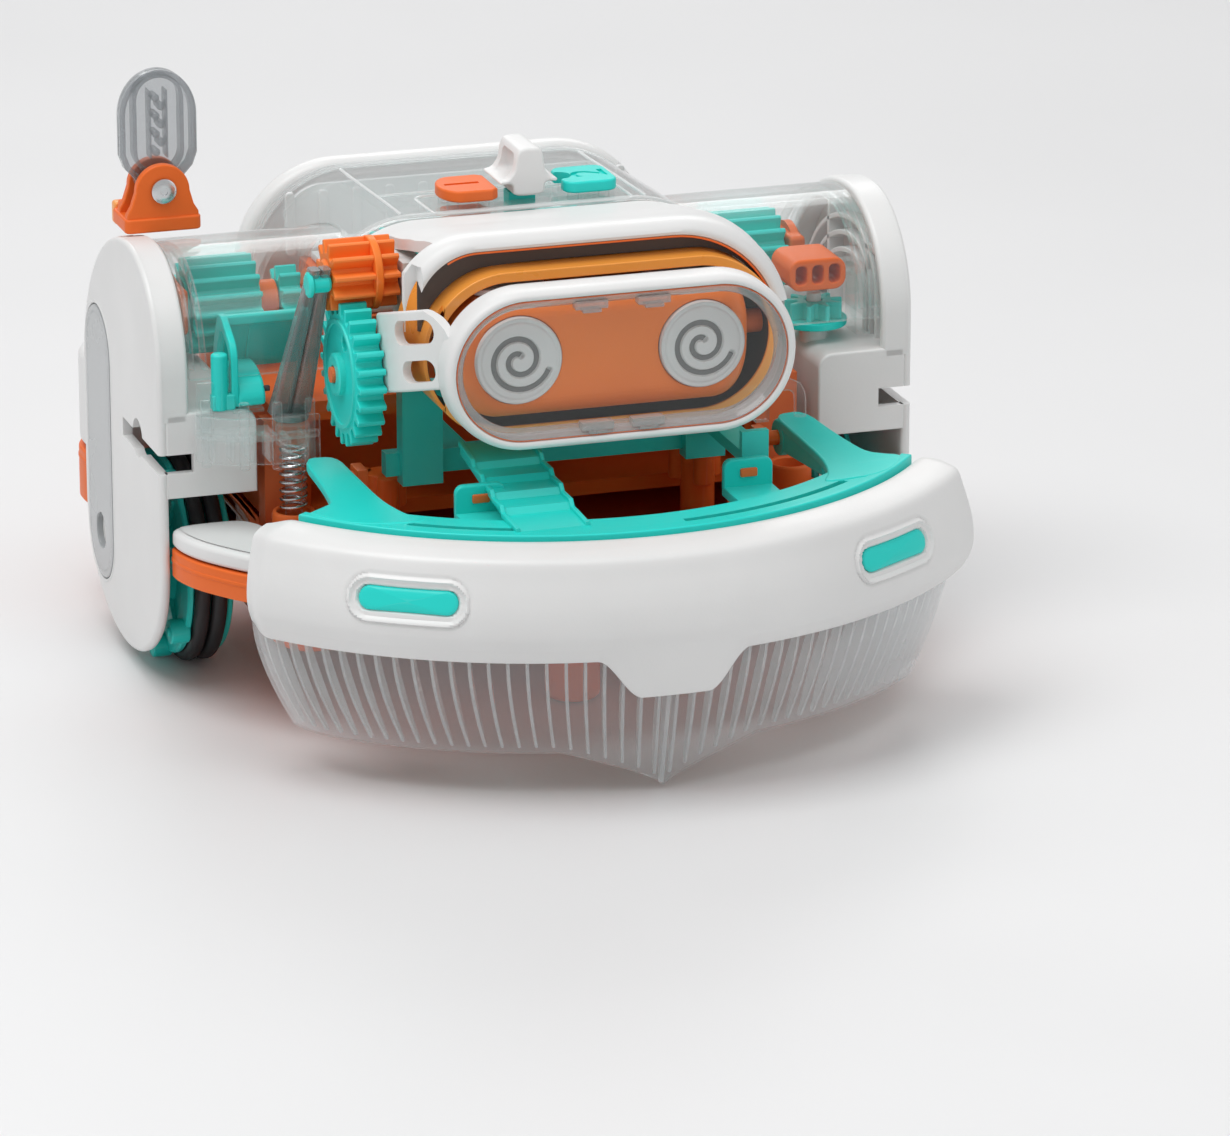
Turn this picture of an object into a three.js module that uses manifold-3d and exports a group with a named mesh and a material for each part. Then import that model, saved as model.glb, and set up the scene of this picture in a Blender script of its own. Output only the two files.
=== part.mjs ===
// Toy robot with two driven wheels, a tilting visor, a turning face drum and an edge-feeling front bumper.
// Units are millimetres. The robot faces -Y, +X is its left hand seen from the front right, +Z is up.
// The modelling frame has the wheel axles above Y = 0; moveToFrame() centres the finished part.
import * as THREE from 'three';
import { mergeVertices } from 'three/addons/utils/BufferGeometryUtils.js';
import Module from 'manifold-3d';

const wasm = await Module();
wasm.setup();

// ---------------------------------------------------------------- driving dimensions
const HALF_WIDTH = 100;          // outer faces of the side plates
const PLATE_THICK = 8;           // upper part of a side plate
const PLATE_SKIN = 2.5;          // lower part of a side plate, beside the wheel
const HOUSING_IN = 74.6;         // inner face of a wheel housing
const HOUSING_LOW = 54;
const HOUSING_TOP = 76;
const WHEEL_R = 28;              // over the tyre rings
const LUGS = 7;                  // round lugs on a hub's outer flange
const TYRE_WIRE = 2.1;           // radius of a tyre ring's section
const TYRE_OUTER_X = 86.5;
const TYRE_INNER_X = 82.1;
const GEAR_MODULE = 1.4;
const VISOR_TEETH = 24;
const DOUBLE_TEETH = 11;
const POD_TEETH = 16;
const SMALL_TEETH = 10;
const VISOR_AXIS = { y: -56.5, z: 88.9 };
const DOUBLE_AXIS = { y: -50, z: 112.51 };
const POD_AXIS = { y: 13.5, z: 89.2 };
const FACE_AXIS = { y: -77.5, z: 99.5 };
const FACE_HALF = 38.5;          // half length of the face drum
const FACE_SIDE = 31;            // its section is square
const EYE_R = 11;
const EYE_X = 23.6;
const RING_R = 20.2;             // visor frame end radius
const RING_FLAT = 24.8;          // half length of its straight sides
const RING_FRONT = -104;
const RING_BACK = -95;
const BUMPER_CENTRE_Y = -30;     // the bumper is an arc about this point
const BUMPER_R = 117.5;
const BUMPER_TOP = 64.6;
const BUMPER_EDGE = 37.4;
const BUMPER_DIP = 27.6;
const BUMPER_HALF_ANGLE = 56;
const PILL_ANGLE = 32.6;          // where the two lights sit on the bumper
const PILL_Z = 52;
const SKIRT_BOTTOM = 11;
const SKIRT_TIP = 1.2;
const YOKE_TOP = 65.4;
const YOKE_PIVOT = { y: -53, z: 60.4 };
const TRAY_LOW = 27;
const FENDER_LOW = 34;           // underside of the tray below the fender caps
const BELLY_LOW = 14;             // underside of the deep middle of the tray
const TRAY_TOP = 41;
const REAR_Y = 68;
const BODY_HALF = 56;            // half width of the body shell
const BODY_TOP = 117.2;
const WINDOW_FRONT = -24;
const WINDOW_BACK = 46;
const POST = { x: -66, y: -39 };   // clear spring post under the pod lever
const KNOB = { x: -63, y: -55, z: 112 };
const FRONT_Y = BUMPER_CENTRE_Y - BUMPER_R;
const Y_SHIFT = -(FRONT_Y + REAR_Y) / 2;

const COLOUR = {
  white: 0xe6e6e4, teal: 0x20c4b8, orange: 0xe06a2a, amber: 0xef9a35, clear: 0xdfe6e8,
  smoke: 0x8a9092, grey: 0xa9adae, rubber: 0x2a2a2b, steel: 0xb9bcc0,
};

// ---------------------------------------------------------------- helpers
function solid(geometry) {
  const g = geometry.index ? geometry.toNonIndexed() : geometry.clone();
  g.deleteAttribute('normal');
  g.deleteAttribute('uv');
  const m = mergeVertices(g, 1e-4);
  const mesh = new wasm.Mesh({
    numProp: 3,
    vertProperties: new Float32Array(m.attributes.position.array),
    triVerts: new Uint32Array(m.index.array),
  });
  return new wasm.Manifold(mesh);
}

function shapeOf(points, holes = []) {
  const shape = new THREE.Shape(points.map(([x, y]) => new THREE.Vector2(x, y)));
  for (const hole of holes) shape.holes.push(new THREE.Path(hole.map(([x, y]) => new THREE.Vector2(x, y))));
  return shape;
}

function extrude(points, depth, holes = []) {
  return new THREE.ExtrudeGeometry(shapeOf(points, holes), { depth, bevelEnabled: false, curveSegments: 1 });
}

// outline in (x, y), from z0 up to z1
function alongZ(points, z0, z1, holes = []) {
  return solid(extrude(points, z1 - z0, holes)).translate([0, 0, z0]);
}

// outline in (y, z), from x0 to x1
function alongX(points, x0, x1, holes = []) {
  const g = extrude(points, x1 - x0, holes);
  g.applyMatrix4(new THREE.Matrix4().makeBasis(
    new THREE.Vector3(0, 1, 0), new THREE.Vector3(0, 0, 1), new THREE.Vector3(1, 0, 0)));
  return solid(g).translate([x0, 0, 0]);
}

// outline in (x, z), from y0 to y1
function alongY(points, y0, y1, holes = []) {
  const g = extrude(points, y1 - y0, holes);
  g.rotateX(Math.PI / 2);
  return solid(g).translate([0, y1, 0]);
}

function box(x0, x1, y0, y1, z0, z1) {
  const g = new THREE.BoxGeometry(x1 - x0, y1 - y0, z1 - z0);
  return solid(g).translate([(x0 + x1) / 2, (y0 + y1) / 2, (z0 + z1) / 2]);
}

function rod(axis, radius, from, to, a, b, sides = 24) {
  const g = new THREE.CylinderGeometry(radius, radius, to - from, sides);
  const mid = (from + to) / 2;
  if (axis === 'x') {
    g.rotateZ(Math.PI / 2);
    return solid(g).translate([mid, a, b]);
  }
  if (axis === 'y') return solid(g).translate([a, mid, b]);
  g.rotateX(Math.PI / 2);
  return solid(g).translate([a, b, mid]);
}

// closed (r, x) profile turned about an X axis through (y, z)
function turned(profile, y, z, sides = 32) {
  const points = profile.map(([r, x]) => new THREE.Vector2(r, x));
  points.push(points[0].clone());
  const g = new THREE.LatheGeometry(points, sides);
  g.rotateZ(-Math.PI / 2);
  const body = solid(g).translate([0, y, z]);
  return body.volume() < 0 ? null : body;
}

function torus(radius, wire, x, y, z, around = 26, tube = 6) {
  const g = new THREE.TorusGeometry(radius, wire, tube, around);
  g.rotateY(Math.PI / 2);
  return solid(g).translate([x, y, z]);
}

function unite(parts) {
  return parts.reduce((sum, part) => sum.add(part));
}

function mirrored(body) {
  return body.mirror([1, 0, 0]);
}

function arcPoints(cx, cy, rx, ry, from, to, steps) {
  const out = [];
  for (let i = 0; i <= steps; i += 1) {
    const a = THREE.MathUtils.degToRad(from + ((to - from) * i) / steps);
    out.push([cx + rx * Math.cos(a), cy + ry * Math.sin(a)]);
  }
  return out;
}

// stadium outline lying along the first coordinate
function stadium(cx, cy, flat, r, steps = 12) {
  return [
    ...arcPoints(cx + flat, cy, r, r, -90, 90, steps),
    ...arcPoints(cx - flat, cy, r, r, 90, 270, steps),
  ];
}

function roundedRect(x0, x1, y0, y1, r, steps = 4) {
  return [
    ...arcPoints(x1 - r, y0 + r, r, r, -90, 0, steps),
    ...arcPoints(x1 - r, y1 - r, r, r, 0, 90, steps),
    ...arcPoints(x0 + r, y1 - r, r, r, 90, 180, steps),
    ...arcPoints(x0 + r, y0 + r, r, r, 180, 270, steps),
  ];
}

// joins equal rings of points into one closed body; flat is the ring's outline used to fill both ends
function loft(rings, flat) {
  const n = flat.length;
  const positions = [];
  for (const ring of rings) for (const p of ring) positions.push(...p);
  const faces = [];
  for (let i = 0; i + 1 < rings.length; i += 1) {
    for (let j = 0; j < n; j += 1) {
      const a = i * n + j;
      const b = i * n + ((j + 1) % n);
      faces.push(a, b, b + n, a, b + n, a + n);
    }
  }
  const contour = flat.map(([x, y]) => new THREE.Vector2(x, y));
  const caps = THREE.ShapeUtils.triangulateShape(contour.map((p) => p.clone()), []);
  const clockwise = THREE.ShapeUtils.area(contour) < 0;
  const last = (rings.length - 1) * n;
  for (const cap of caps) {
    const [a, b, c] = clockwise ? [...cap].reverse() : cap;
    faces.push(c, b, a);
    faces.push(last + a, last + b, last + c);
  }
  const build = (list) => new wasm.Manifold(new wasm.Mesh({
    numProp: 3,
    vertProperties: new Float32Array(positions),
    triVerts: new Uint32Array(list),
  }));
  const body = build(faces);
  if (body.volume() > 0) return body;
  const turnedOver = [];
  for (let i = 0; i < faces.length; i += 3) turnedOver.push(faces[i], faces[i + 2], faces[i + 1]);
  return build(turnedOver);
}

// sweeps an (r, z) outline round the bumper's vertical axis; shape(angle) returns the outline there
function sweepRound(angles, shape) {
  const rings = angles.map((deg) => {
    const a = THREE.MathUtils.degToRad(deg);
    return shape(deg).map(([r, z]) => [r * Math.sin(a), BUMPER_CENTRE_Y - r * Math.cos(a), z]);
  });
  return loft(rings, shape(angles[0]));
}

// plan outline of a band between two radii about the bumper's axis
function planArc(r0, r1, from, to, steps) {
  const cy = BUMPER_CENTRE_Y;
  return [
    ...arcPoints(0, cy, r1, r1, -90 + from, -90 + to, steps),
    ...arcPoints(0, cy, r0, r0, -90 + to, -90 + from, steps),
  ];
}

// ---------------------------------------------------------------- gears
// straight-flanked teeth, a little slim so that a pair runs with play
function gearOutline(teeth, cy, cz, phase) {
  const pitch = (GEAR_MODULE * teeth) / 2;
  const tip = pitch + GEAR_MODULE * 0.92;
  const root = pitch - GEAR_MODULE * 1.3;
  const step = (2 * Math.PI) / teeth;
  const half = step * 0.215;
  const tipHalf = Math.max(half - Math.tan(0.36) * ((GEAR_MODULE * 0.92) / pitch), step * 0.06);
  const rootHalf = Math.min(half + (Math.tan(0.3) * GEAR_MODULE * 1.1) / pitch, step * 0.36);
  const points = [];
  for (let i = 0; i < teeth; i += 1) {
    const a = phase + i * step;
    for (const [r, d] of [[root, -rootHalf], [tip, -tipHalf], [tip, tipHalf], [root, rootHalf]]) {
      points.push([cy + r * Math.cos(a + d), cz + r * Math.sin(a + d)]);
    }
  }
  return points;
}

function gear(teeth, axis, x0, x1, phase = 0) {
  return alongX(gearOutline(teeth, axis.y, axis.z, phase), x0, x1);
}

// turns the double gear so that one of its gaps faces a tooth of the visor gear
function meshPhases() {
  const toward = Math.atan2(DOUBLE_AXIS.z - VISOR_AXIS.z, DOUBLE_AXIS.y - VISOR_AXIS.y);
  const visor = toward;
  const double = toward + Math.PI + Math.PI / DOUBLE_TEETH;
  return { visor, double };
}

// ---------------------------------------------------------------- side plates and wheel housings
function plateOutline(d = 0) {
  return [
    ...arcPoints(-8, 84.5, 28.5 - d, 28.5 - d, 180, 90, 6),
    ...arcPoints(-8, 66, 49.5 - d, 47 - d, 90, 0, 8).slice(1),
    ...arcPoints(2.5, 34, 39 - d, 30 - d, 0, -180, 12),
  ].reverse();
}

function sidePlate() {
  const inner = HALF_WIDTH - PLATE_THICK;
  const skin = HALF_WIDTH - PLATE_SKIN;
  const slab = alongX(plateOutline(), skin, HALF_WIDTH);
  const above = box(inner - 1, skin + 0.2, -60, 60, HOUSING_TOP - 2, 130);
  const rimCut = alongX(plateOutline(3), inner - 1, skin + 0.2);
  const rim = alongX(plateOutline(), inner, skin + 0.1).subtract(rimCut);
  const arches = alongX(plateOutline(14), inner + 1.5, skin + 0.1)
    .subtract(alongX(plateOutline(15.6), inner, skin + 0.2));
  const rib = box(inner + 1.5, skin + 0.1, 9, 10.6, HOUSING_TOP - 1, 111);
  const shelf = box(inner + 1.5, skin + 0.1, -31.5, -21, 98, 99.6);
  const upper = unite([rim, arches, rib, shelf]).intersect(above);
  const housing = wheelHousing(skin);
  const recess = alongX(insetOutline(0.2), HALF_WIDTH - 1.4, HALF_WIDTH + 1);
  const pocket = rod('x', 5.6, HALF_WIDTH - 2.1, HALF_WIDTH + 1, 25, 27.5, 12);
  const slot = box(inner - 1, HALF_WIDTH + 1, -40, 0, 60.5, 65.5);
  const bump = rod('x', 5, inner - 1, HALF_WIDTH + 1, -15, 63.5, 12);
  const notch = slot.add(bump.intersect(box(80, 110, -30, 0, 63, 80)));
  return unite([slab, upper, housing]).subtract(recess).subtract(pocket).subtract(notch);
}

function wheelHousing(skin) {
  const chamfer = 4;
  const outline = [
    [HOUSING_IN, HOUSING_LOW], [skin + 0.1, HOUSING_LOW], [skin + 0.1, HOUSING_TOP],
    [HOUSING_IN + chamfer, HOUSING_TOP], [HOUSING_IN, HOUSING_TOP - chamfer],
  ];
  const block = alongY(outline, -36.5, 41.5);
  const well = box(HOUSING_IN + 2, skin + 0.01, -34, 34, HOUSING_LOW - 2, HOUSING_TOP - 6);
  return block.subtract(well);
}

function insetOutline(grow = 0) {
  return stadium(51.5, 25, 24, 12.5 + grow, 8).map(([z, y]) => [y, z]).reverse();
}

function sideInset() {
  const body = alongX(insetOutline(), HALF_WIDTH - 1.2, HALF_WIDTH + 0.2);
  const hole = rod('x', 4.6, HALF_WIDTH - 3, HALF_WIDTH + 3, 25, 27.5, 12);
  const collar = rod('x', 5.4, HALF_WIDTH - 1.8, HALF_WIDTH - 0.8, 25, 27.5, 12);
  return body.add(collar).subtract(hole);
}

// ---------------------------------------------------------------- wheels
function wheelHub() {
  const profile = [
    [0, 77.6], [25.4, 78.2], [25.4, 80], [23.5, 80.2], [23.5, 88.4], [25.6, 88.6], [25.6, 90.2],
    [12, 91], [10, 94], [0, 94],
  ];
  const body = turned(profile, 0, WHEEL_R, 20);
  const parts = [body];
  for (let i = 0; i < LUGS; i += 1) {
    const a = (i * 2 * Math.PI) / LUGS + 0.2;
    parts.push(rod('x', 3.2, 89, 94, 24.3 * Math.cos(a), WHEEL_R + 24.3 * Math.sin(a), 6));
  }
  const bolt = rod('x', 2, 62, 78, 0, WHEEL_R, 10);
  parts.push(bolt);
  return unite(parts);
}

function tyre(x) {
  return torus(WHEEL_R - TYRE_WIRE, TYRE_WIRE, x, 0, WHEEL_R);
}

// ---------------------------------------------------------------- chassis
// plan outline of the tray's right half, front to back
function trayHalf(d = 0) {
  return [
    [0, -103 + d], [25, -100 + d], [50 - d * 0.3, -92 + d], [72 - d * 0.7, -76 + d * 0.7],
    [86 - d, -62 + d * 0.4], [94 - d, -50], [97 - d, -41], [97 - d, -33 - d], [71.5 - d, -33 - d],
    [71.5 - d, 44 + d], [96 - d, 44 + d], [98 - d, 50], [98 - d, 58 - d * 0.4],
    [95 - d * 0.7, 65 - d * 0.7], [88 - d * 0.4, REAR_Y - d], [0, REAR_Y - d],
  ];
}

function fullPlan(half) {
  const left = half.slice(1, -1).reverse().map(([x, y]) => [-x, y]);
  return [...half, ...left];
}

function square(x, y, side, z0, z1) {
  const h = side / 2;
  const hole = h - 1.6;
  const inside = box(x - hole, x + hole, y - hole, y + hole, z0 - 1, z1 + 1);
  return box(x - h, x + h, y - h, y + h, z0, z1).subtract(inside);
}

// under the fender caps the tray is only half as deep; this is the space below it there
function belowFender() {
  const corner = box(72, 110, -110, -32, TRAY_LOW - 1, FENDER_LOW);
  return corner.add(mirrored(corner));
}

// floor of the raised corner and the wall that joins it to the main floor
function fenderFloor() {
  const corner = box(71, 110, -110, -32, TRAY_LOW, TRAY_TOP);
  const floor = alongZ(fullPlan(trayHalf(0.2)), FENDER_LOW, FENDER_LOW + 2.2).intersect(corner);
  return floor.add(box(69.8, 72, -74, -33, TRAY_LOW, FENDER_LOW + 2.2));
}

function chassisTray() {
  const outer = alongZ(fullPlan(trayHalf()), TRAY_LOW, TRAY_TOP);
  const hollow = alongZ(fullPlan(trayHalf(2.2)), TRAY_LOW + 2.4, TRAY_TOP + 1);
  const belly = box(-71.5, 71.5, -50, 44, BELLY_LOW, TRAY_TOP);
  const bellyHollow = box(-69.3, 69.3, -47.8, 41.8, BELLY_LOW + 2.4, TRAY_TOP + 1);
  const open = outer.subtract(hollow).subtract(belowFender());
  const tray = open.add(belly).subtract(bellyHollow);
  const corner = fenderFloor();
  const extra = [corner, mirrored(corner)];
  for (const s of [-1, 1]) {
    extra.push(square(s * 8, -74, 11, TRAY_LOW + 2, TRAY_LOW + 8));
    extra.push(rod('z', 5.6, BELLY_LOW + 1, 49, s * Math.abs(POST.x), POST.y, 12));
    extra.push(lobedBoss(s * 42, -36));
    extra.push(latchPost(s));
    extra.push(yokePost(s));
  }
  const rail = sweptRail();
  const glides = [rod('z', 7, 0.3, TRAY_LOW + 1, 0, -62, 14), rod('z', 7, 0.3, TRAY_LOW + 1, 0, 56, 14)];
  let body = unite([tray, ...extra, rail, ...glides]);
  for (const s of [-1, 1]) {
    body = body.subtract(rod('z', 4.3, 38, 50, s * Math.abs(POST.x), POST.y, 12));
    body = body.subtract(rod('x', 2.4, Math.min(s * 66, s * 74), Math.max(s * 66, s * 74), 0, WHEEL_R, 10));
  }
  return body;
}

// raised rail that follows the tray's front edge
function sweptRail() {
  return alongZ(planArc(57, 59.5, -40, 40, 8), TRAY_LOW + 2, TRAY_LOW + 6);
}

function lobedBoss(x, y) {
  const core = rod('z', 4.4, BELLY_LOW + 2, 56, x, y, 10);
  const lobes = [0, 1, 2].map((i) => {
    const a = (i * 2 * Math.PI) / 3 + 0.5;
    return rod('z', 2.6, 46, 56, x + 5 * Math.cos(a), y + 5 * Math.sin(a), 7);
  });
  return unite([core, ...lobes]).subtract(rod('z', 1.5, 50, 57, x, y, 7));
}

// hooked posts that the bumper's two clips slide on
function latchPost(s) {
  const post = box(s * 34.6 - 3.4, s * 34.6 + 3.4, -92.6, -90.6, TRAY_LOW + 2, 63);
  const hook = box(s * 34.6 - 3.4, s * 34.6 + 3.4, -93.6, -90.6, 61, 63);
  return post.add(hook);
}

function fenderCap() {
  const plan = [
    [72.4, -33], [96.8, -33], [96.8, -41], [93.6, -50], [85.6, -61.6], [74.4, -73.4], [72.4, -71],
  ];
  const top = alongZ(plan, TRAY_TOP + 0.3, 45.2);
  const lid = alongZ(plan.map(([x, y]) => [83 + (x - 83) * 0.93, -50 + (y + 50) * 0.93]), 45.1, 46);
  return top.add(lid);
}

function rearCover() {
  const plan = [
    [0, 44.6], [96, 44.6], [97.6, 50], [97.6, 58], [94.6, 64.6], [88, REAR_Y - 0.4], [0, REAR_Y - 0.4],
  ];
  const inner = plan.map(([x, y]) => [x * 0.972, 55 + (y - 55) * 0.78]);
  const outer = alongZ(fullPlan(plan), TRAY_TOP + 0.3, 68);
  const hollow = alongZ(fullPlan(inner), TRAY_TOP - 1, 65.6);
  const mouth = box(-52.6, 52.6, 40, 57.6, 60, 70);
  return outer.subtract(hollow).subtract(mouth);
}

function gearbox() {
  const lower = box(-68.5, 68.5, -26.6, 43, TRAY_TOP + 0.3, 73);
  const shoulder = box(-42, 42, -20, 40, 72.9, 92);
  const cheek = box(60, 71, -30, -24, TRAY_TOP + 0.3, 70);
  const cheeks = [cheek, mirrored(cheek)];
  const cavity = box(-58, 58, -27, -8, TRAY_TOP + 4, 68);
  return unite([lower, shoulder, ...cheeks]).subtract(cavity);
}

// ---------------------------------------------------------------- body shell
function bodyOutline(half, top, bottom, r) {
  return [
    [half, bottom],
    ...arcPoints(half - r, top - r, r, r, 0, 90, 7),
    ...arcPoints(-half + r, top - r, r, r, 90, 180, 7),
    [-half, bottom],
  ];
}

function shellBetween(sections, thick, bottom) {
  const ring = (s, d) => bodyOutline(s.half - d, s.top - d, bottom - (d ? 1 : 0), s.r - d * 0.7);
  const outerRings = sections.map((s) => ring(s, 0).map(([x, z]) => [x, s.y, z]));
  const first = sections[0];
  const last = sections[sections.length - 1];
  const stretched = [{ ...first, y: first.y - 1 }, ...sections, { ...last, y: last.y + 1 }];
  const innerRings = stretched.map((s) => ring(s, thick).map(([x, z]) => [x, s.y, z]));
  return loft(outerRings, ring(first, 0)).subtract(loft(innerRings, ring(first, thick)));
}

// the hood's lower edge climbs towards the front, and its left side makes room for the visor gears
function bodyHood() {
  const shell = shellBetween([
    { y: -83.6, half: 47.6, top: 126.2, r: 24 },
    { y: -78, half: 48.4, top: 127, r: 25 },
    { y: -66, half: 51.4, top: 125.4, r: 26 },
    { y: -46, half: 56.4, top: 121.6, r: 27 },
    { y: WINDOW_FRONT, half: BODY_HALF, top: BODY_TOP + 0.6, r: 27 },
  ], 2.4, 79);
  const underside = alongX([
    [-90, 70], [-40, 70], [-46, 84], [-58, 96], [-70, 102.6], [-80, 106], [-90, 107],
  ], -70, 70);
  const gearSide = box(-70, -39.8, -76.2, -37.6, 60, 140).add(box(-70, -44.6, -90, -76, 60, 121));
  const podClear = box(43.5, 70, -39, -20, 70, 118).add(box(-70, -43.5, -39, -20, 70, 118));
  return shell.subtract(underside).subtract(gearSide).subtract(podClear.intersect(podCore()));
}

// the space that the two pods take out of the body's sides
function podCore() {
  const right = alongX(podOutline(-0.4), 43.4, 80);
  return right.add(mirrored(right));
}

function topWindow() {
  const shell = shellBetween([
    { y: WINDOW_FRONT + 0.3, half: BODY_HALF, top: BODY_TOP + 0.6, r: 27 },
    { y: WINDOW_BACK - 0.3, half: BODY_HALF - 1, top: BODY_TOP - 2.3, r: 27 },
  ], 1.8, 86);
  const slot = alongZ(roundedRect(-6.5, 12.5, -12.5, -5.5, 1.5, 3), 100, 130);
  const rearRib = box(-30, 30, 20, 21.2, 112.4, 114.6);
  return shell.subtract(slot).add(rearRib).subtract(podCore());
}

function backShell() {
  const rim = shellBetween([
    { y: WINDOW_BACK, half: BODY_HALF, top: BODY_TOP - 2, r: 27 },
    { y: WINDOW_BACK + 3, half: BODY_HALF + 0.6, top: BODY_TOP - 1.6, r: 27 },
    { y: WINDOW_BACK + 8, half: BODY_HALF, top: BODY_TOP - 2.6, r: 27 },
  ], 2.6, 68.4);
  const wall = bodyOutline(BODY_HALF - 2.5, BODY_TOP - 4.9, 68.4, 25);
  return rim.add(alongY(wall, WINDOW_BACK + 5.4, WINDOW_BACK + 7.8));
}

function faceHousing() {
  const outer = stadium(0, FACE_AXIS.z, 24.6, 21.1, 10);
  const inner = stadium(0, FACE_AXIS.z, 24.6, 20, 10);
  return alongY(outer, -85.6, -61, [inner]);
}

function innerFrame() {
  const back = alongY(roundedRect(-32.6, 32.6, 80, 112, 6, 3), -53.5, -51.3);
  const bar = box(-46, 46, -53.5, -49.5, 60, 66);
  const right = box(32, 42.5, -56.4, -51.3, 58, 100);
  const left = box(-42.5, -32, -56.4, -51.3, 58, 84);
  const feet = [-1, 1].map((s) => box(s * 28 - 4, s * 28 + 4, -53.5, -26, 60, 66));
  const post = box(36, 43, -88, -86, 66, 74).add(box(36, 43, -88, -51.5, 66, 69));
  return unite([back, bar, right, left, ...feet, post]);
}

function bearingBlock() {
  const block = box(-42.2, -36.4, -57, -44, 104, 116);
  const nose = alongY([[-36.6, 108], [-33.4, 109], [-33.4, 113], [-36.6, 115]], -57, -47);
  const stem = box(-41, -37, -50, -44, 98, 104.2);
  return unite([block, nose, stem]).subtract(rod('x', 2.5, -44, -38, DOUBLE_AXIS.y, DOUBLE_AXIS.z, 16));
}

// ---------------------------------------------------------------- mode selector
function modePlateOne() {
  const plate = alongZ(roundedRect(-19.5, -5.2, -19, -3, 3, 4), 119.2, 122.2);
  const figure = unite([
    box(-13.2, -11.6, -15, -7, 120.6, 123), box(-15.2, -9.6, -15, -13.6, 120.6, 123),
    box(-14.6, -12, -8.4, -7, 120.6, 123),
  ]);
  return plate.subtract(figure);
}

function modePlateTwo() {
  const plate = alongZ(roundedRect(12.4, 26.6, -19, -3, 3, 4), 119.2, 121.6);
  const notch = box(11, 16.4, -13.4, -8.6, 118, 123);
  const figure = unite([
    box(19, 23.4, -8.4, -7, 120.6, 123), box(22, 23.4, -11, -7, 120.6, 123),
    box(19, 23.4, -11.6, -10.2, 120.6, 123),
    box(19, 20.4, -15, -10.4, 120.6, 123), box(19, 23.4, -15, -13.6, 120.6, 123),
  ]);
  return plate.subtract(notch).subtract(figure);
}

function modeLever() {
  const hat = [
    [-1.2, 119.3], [7.2, 119.3], [7.2, 122.6], [10.6, 122.6], [10.6, 123.3], [8.2, 124], [6.4, 126],
    [5.6, 130.4], [5, 131.6], [1.4, 131.6], [0.8, 130.4], [0.2, 126], [-1.8, 124], [-4.6, 123.3],
    [-4.6, 122.6], [-1.2, 122.6],
  ];
  return alongY(hat, -17.5, -2).subtract(box(-6, 1.6, -14.6, -5, 124, 129.6));
}

function leverBlock() {
  const stem = box(-0.6, 6.6, -11.6, -6.4, 104, 119);
  return stem.add(box(-3, 9, -13, -5, 100, 104.1));
}

// ---------------------------------------------------------------- pods
function podOutline(d = 0) {
  return plateOutline(1.2 + d);
}

// clear half tube over a pod, open below its front edge
function podTube() {
  const keep = box(40, 95, -60, 60, 84, 130).add(box(40, 95, 20, 60, HOUSING_TOP + 2, 130));
  const tube = alongX(podOutline(), 44, 91.4).subtract(alongX(podOutline(1.8), 43, 93));
  return tube.intersect(keep);
}

function podBracketLeft() {
  const shelf = alongZ([
    [-91, -37.2], [-91, -39], [-84, -45], [-72, -47.4], [-61, -46.6], [-61, -44.2], [-72, -44.2],
    [-72, -37.2],
  ], 70, 71.6);
  const lip = alongZ([
    [-91, -38], [-91, -39.4], [-84, -45.2], [-72, -47.6], [-61, -46.8], [-61, -45.6], [-72, -46.2],
    [-83.4, -44],
  ], 64, 76);
  const ribs = [-86, -80.5, -75].map((x) => box(x - 0.6, x + 0.6, -43.4, -37.4, 64, 70.1));
  return unite([shelf, lip, ...ribs]);
}

function podBracketRight() {
  const path = new THREE.CatmullRomCurve3([
    new THREE.Vector3(52, -58.8, 76), new THREE.Vector3(59, -58.8, 76), new THREE.Vector3(61.4, -58.8, 74),
    new THREE.Vector3(61.6, -58.8, 70), new THREE.Vector3(61.6, -58.8, 67.4),
  ]);
  const rodShape = shapeOf(arcPoints(0, 0, 1.6, 1.6, 0, 315, 7));
  const hook = solid(new THREE.ExtrudeGeometry(rodShape, { steps: 8, extrudePath: path, curveSegments: 1 }));
  const plate = box(49, 53, -60.6, -57, 67, 92);
  const arm = box(49, 51.4, -58, -20, 73.4, 77.4);
  return unite([hook, plate, arm]);
}

// open bucket: back wall, curved floor and two slanted cheeks, on a foot that stands on the left housing
function hopper() {
  const cheek = [
    [-14, 100], [-16.4, 100], [-33, 84], [-33, 78.6], [-31, 77.4], [-22, 77.4], [-17, 81], [-14, 87],
  ];
  const room = [[-16, 101], [-16, 88], [-20, 82], [-26, 79.2], [-31, 79.2], [-34, 81], [-34, 101]];
  const bucket = alongX(cheek, -82.6, -68.8).subtract(alongX(room, -81, -70.4));
  const foot = box(-81.6, -77.6, -30, -24, HOUSING_TOP + 0.3, 77.6);
  return bucket.add(foot);
}

function podLever() {
  const slice = (x0, x1, y0, y1, z) => [[x0, y0, z], [x1, y0, z], [x1, y1, z], [x0, y1, z]];
  const arm = loft([
    slice(POST.x - 2.2, POST.x + 2.2, POST.y - 1, POST.y + 4.6, 74.4),
    slice(KNOB.x - 1.6, KNOB.x + 1.6, KNOB.y - 3.4, KNOB.y + 3.4, KNOB.z - 6),
    slice(KNOB.x - 1.6, KNOB.x + 1.6, KNOB.y - 3.8, KNOB.y + 3.8, KNOB.z + 3.8),
  ], [[0, 0], [1, 0], [1, 1], [0, 1]]);
  const disc = rod('z', 4.6, 72.4, 74.6, POST.x, POST.y + 2, 18);
  return arm.add(disc).subtract(rod('x', 2.5, -70, -56, KNOB.y, KNOB.z, 14));
}

function leverKnob() {
  return rod('x', 2.2, KNOB.x - 3, KNOB.x + 2.6, KNOB.y, KNOB.z, 14)
    .add(rod('x', 3.2, KNOB.x - 3.4, KNOB.x - 1.9, KNOB.y, KNOB.z, 14));
}

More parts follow.
